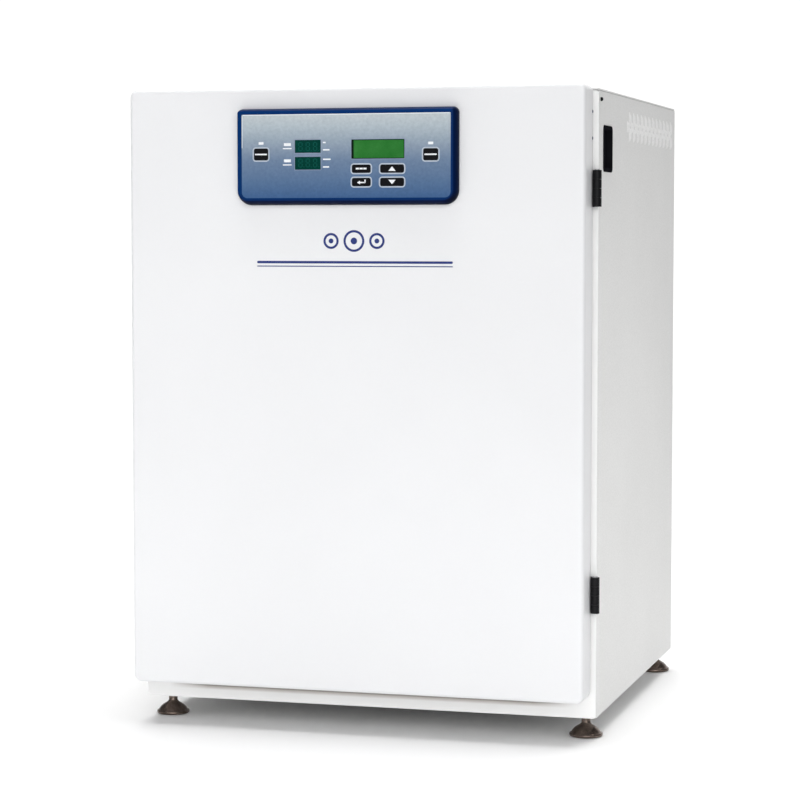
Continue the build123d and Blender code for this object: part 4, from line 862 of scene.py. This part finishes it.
def add_seal():
    """Magnetic door seal: a bellows profile swept round the recess."""
    low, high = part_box("door_gasket")
    xc, zc = (low.x + high.x) / 2, (low.z + high.z) / 2
    w, h = high.x - low.x, high.z - low.z
    depth = high.y - low.y
    corner = 30.0
    profile = [(0.0, 0.0), (0.2, 0.35), (1.2, 0.55), (2.0, 0.9), (3.6, 1.0), (7.0, 1.0),
               (10.4, 1.0), (12.0, 0.9), (12.8, 0.55), (13.8, 0.35), (14.0, 0.0)]
    bm = bmesh.new()
    loops = []
    for inset, rise in profile:
        radius = max(1.0, corner - inset) * MM
        outline = rounded(xc, zc, w - 2 * inset * MM, h - 2 * inset * MM, radius, 8)
        loops.append([bm.verts.new((x, low.y + rise * depth, z)) for x, z in outline])
    for a, b in zip(loops, loops[1:] + loops[:1]):
        bridge(bm, a, b)
    piece = make_piece("door_seal_bellows", bm, MATERIALS["seal_grey"], "outer_door",
                       50)
    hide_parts("door_gasket")


def add_feet():
    """Turned feet: a rolled rim, a dished flare and a plain stem."""
    profile = ((0, 0), (19, 0), (22.8, 0.8), (23.6, 2.0), (23.7, 3.4), (23.3, 4.6), (22.4, 5.4),
               (21.4, 5.8), (20.6, 6.6), (19.6, 8.2), (17.6, 10.6), (14.9, 12.9), (11.8, 14.9),
               (8.8, 16.6), (7.1, 18.2), (6.4, 20), (6.4, 27), (5, 28), (5, 59), (0, 59))
    for node in ("foot_front_left", "foot_front_right", "foot_rear_left", "foot_rear_right"):
        c, low = middle(node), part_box(node)[0].z
        bm = bmesh.new()
        lathe(bm, [(r * MM, h * MM) for r, h in profile], (c.x, c.y, low), (0, 0, 1), 56)
        piece = make_piece(node + "_turned", bm, MATERIALS["foot_metal"], node, 50)
        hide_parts(node)


HINGE_FEET = (147.5, 704.0)            # lower ends of the two hinges above the base, in mm
KNUCKLE = 12.5                         # knuckle height


def add_hinge_washers():
    """Thin black washers in the gaps between the hinge knuckles."""
    low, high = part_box("hinge_pins")
    x, y = (low.x + high.x) / 2, (low.y + high.y) / 2
    half_t, bore, radius = 0.17 * MM, 2.6 * MM, 4.4 * MM
    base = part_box("base_pan")[0].z
    bm = bmesh.new()
    for foot in HINGE_FEET:
        for index in (1, 2, 3):
            z = base + (foot + KNUCKLE * index) * MM
            lathe(bm, [(bore, -half_t), (radius, -half_t), (radius, half_t), (bore, half_t),
                       (bore, -half_t)], (x, y, z), (0, 0, 1), 32)
    make_piece("hinge_washers", bm, MATERIALS["hinge_black"], "cabinet")


def add_hose_barb():
    """Ribbed hose end over the plain spigot of the gas inlet."""
    c = middle("gas_inlet")
    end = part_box("gas_inlet")[1].y
    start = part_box("back_panel")[1].y + 5 * MM
    bore, neck, crest = 2.1 * MM, 4.05 * MM, 4.9 * MM
    profile = [(bore, 0.0), (neck, 0.0)]
    length = end - start
    ribs = 4
    pitch = (length - 3.4 * MM) / ribs
    for i in range(ribs):
        a = 3.0 * MM + i * pitch
        profile += [(neck, a), (crest, a + 0.5 * MM), (4.1 * MM, a + pitch - 0.3 * MM)]
    tip = length - 0.05 * MM
    profile += [(3.4 * MM, tip), (bore, tip), (bore, 0.0)]
    bm = bmesh.new()
    lathe(bm, profile, (c.x, start, c.z), (0, 1, 0), 32)
    make_piece("gas_hose_barb", bm, MATERIALS["brass"], "cabinet")


def add_switch_marks():
    """White bar on the upper half of the rocker."""
    low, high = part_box("power_rocker")
    c = (low + high) / 2
    half_w, length = 0.5 * MM, 5.2 * MM
    x, z = low.x + 14.6 * MM, c.z + 6 * MM
    x0, x1 = x - 1.2 * MM, x + 0.1 * MM        # the rocker's face slopes outward towards its top
    corners = [(x0, c.y - half_w, z), (x0, c.y + half_w, z),
               (x1, c.y + half_w, z + length), (x1, c.y - half_w, z + length)]
    bm = bmesh.new()
    bm.faces.new([bm.verts.new(p) for p in corners])
    bmesh.ops.solidify(bm, geom=bm.faces[:], thickness=0.3 * MM)
    make_piece("rocker_on_sign", bm, PRINT_WHITE, "power_rocker")


# ---------------------------------------------------------------- build
add_camera()
add_studio()
add_pod_frame()
add_key_rings()
add_key_symbols()
add_indicator_marks()
add_screen_details()
add_film_edge()
add_door_mark()
add_special_paints()
add_louvres()
add_screws()
add_seam_screws()
add_seal()
add_feet()
add_hinge_washers()
add_hose_barb()
add_switch_marks()
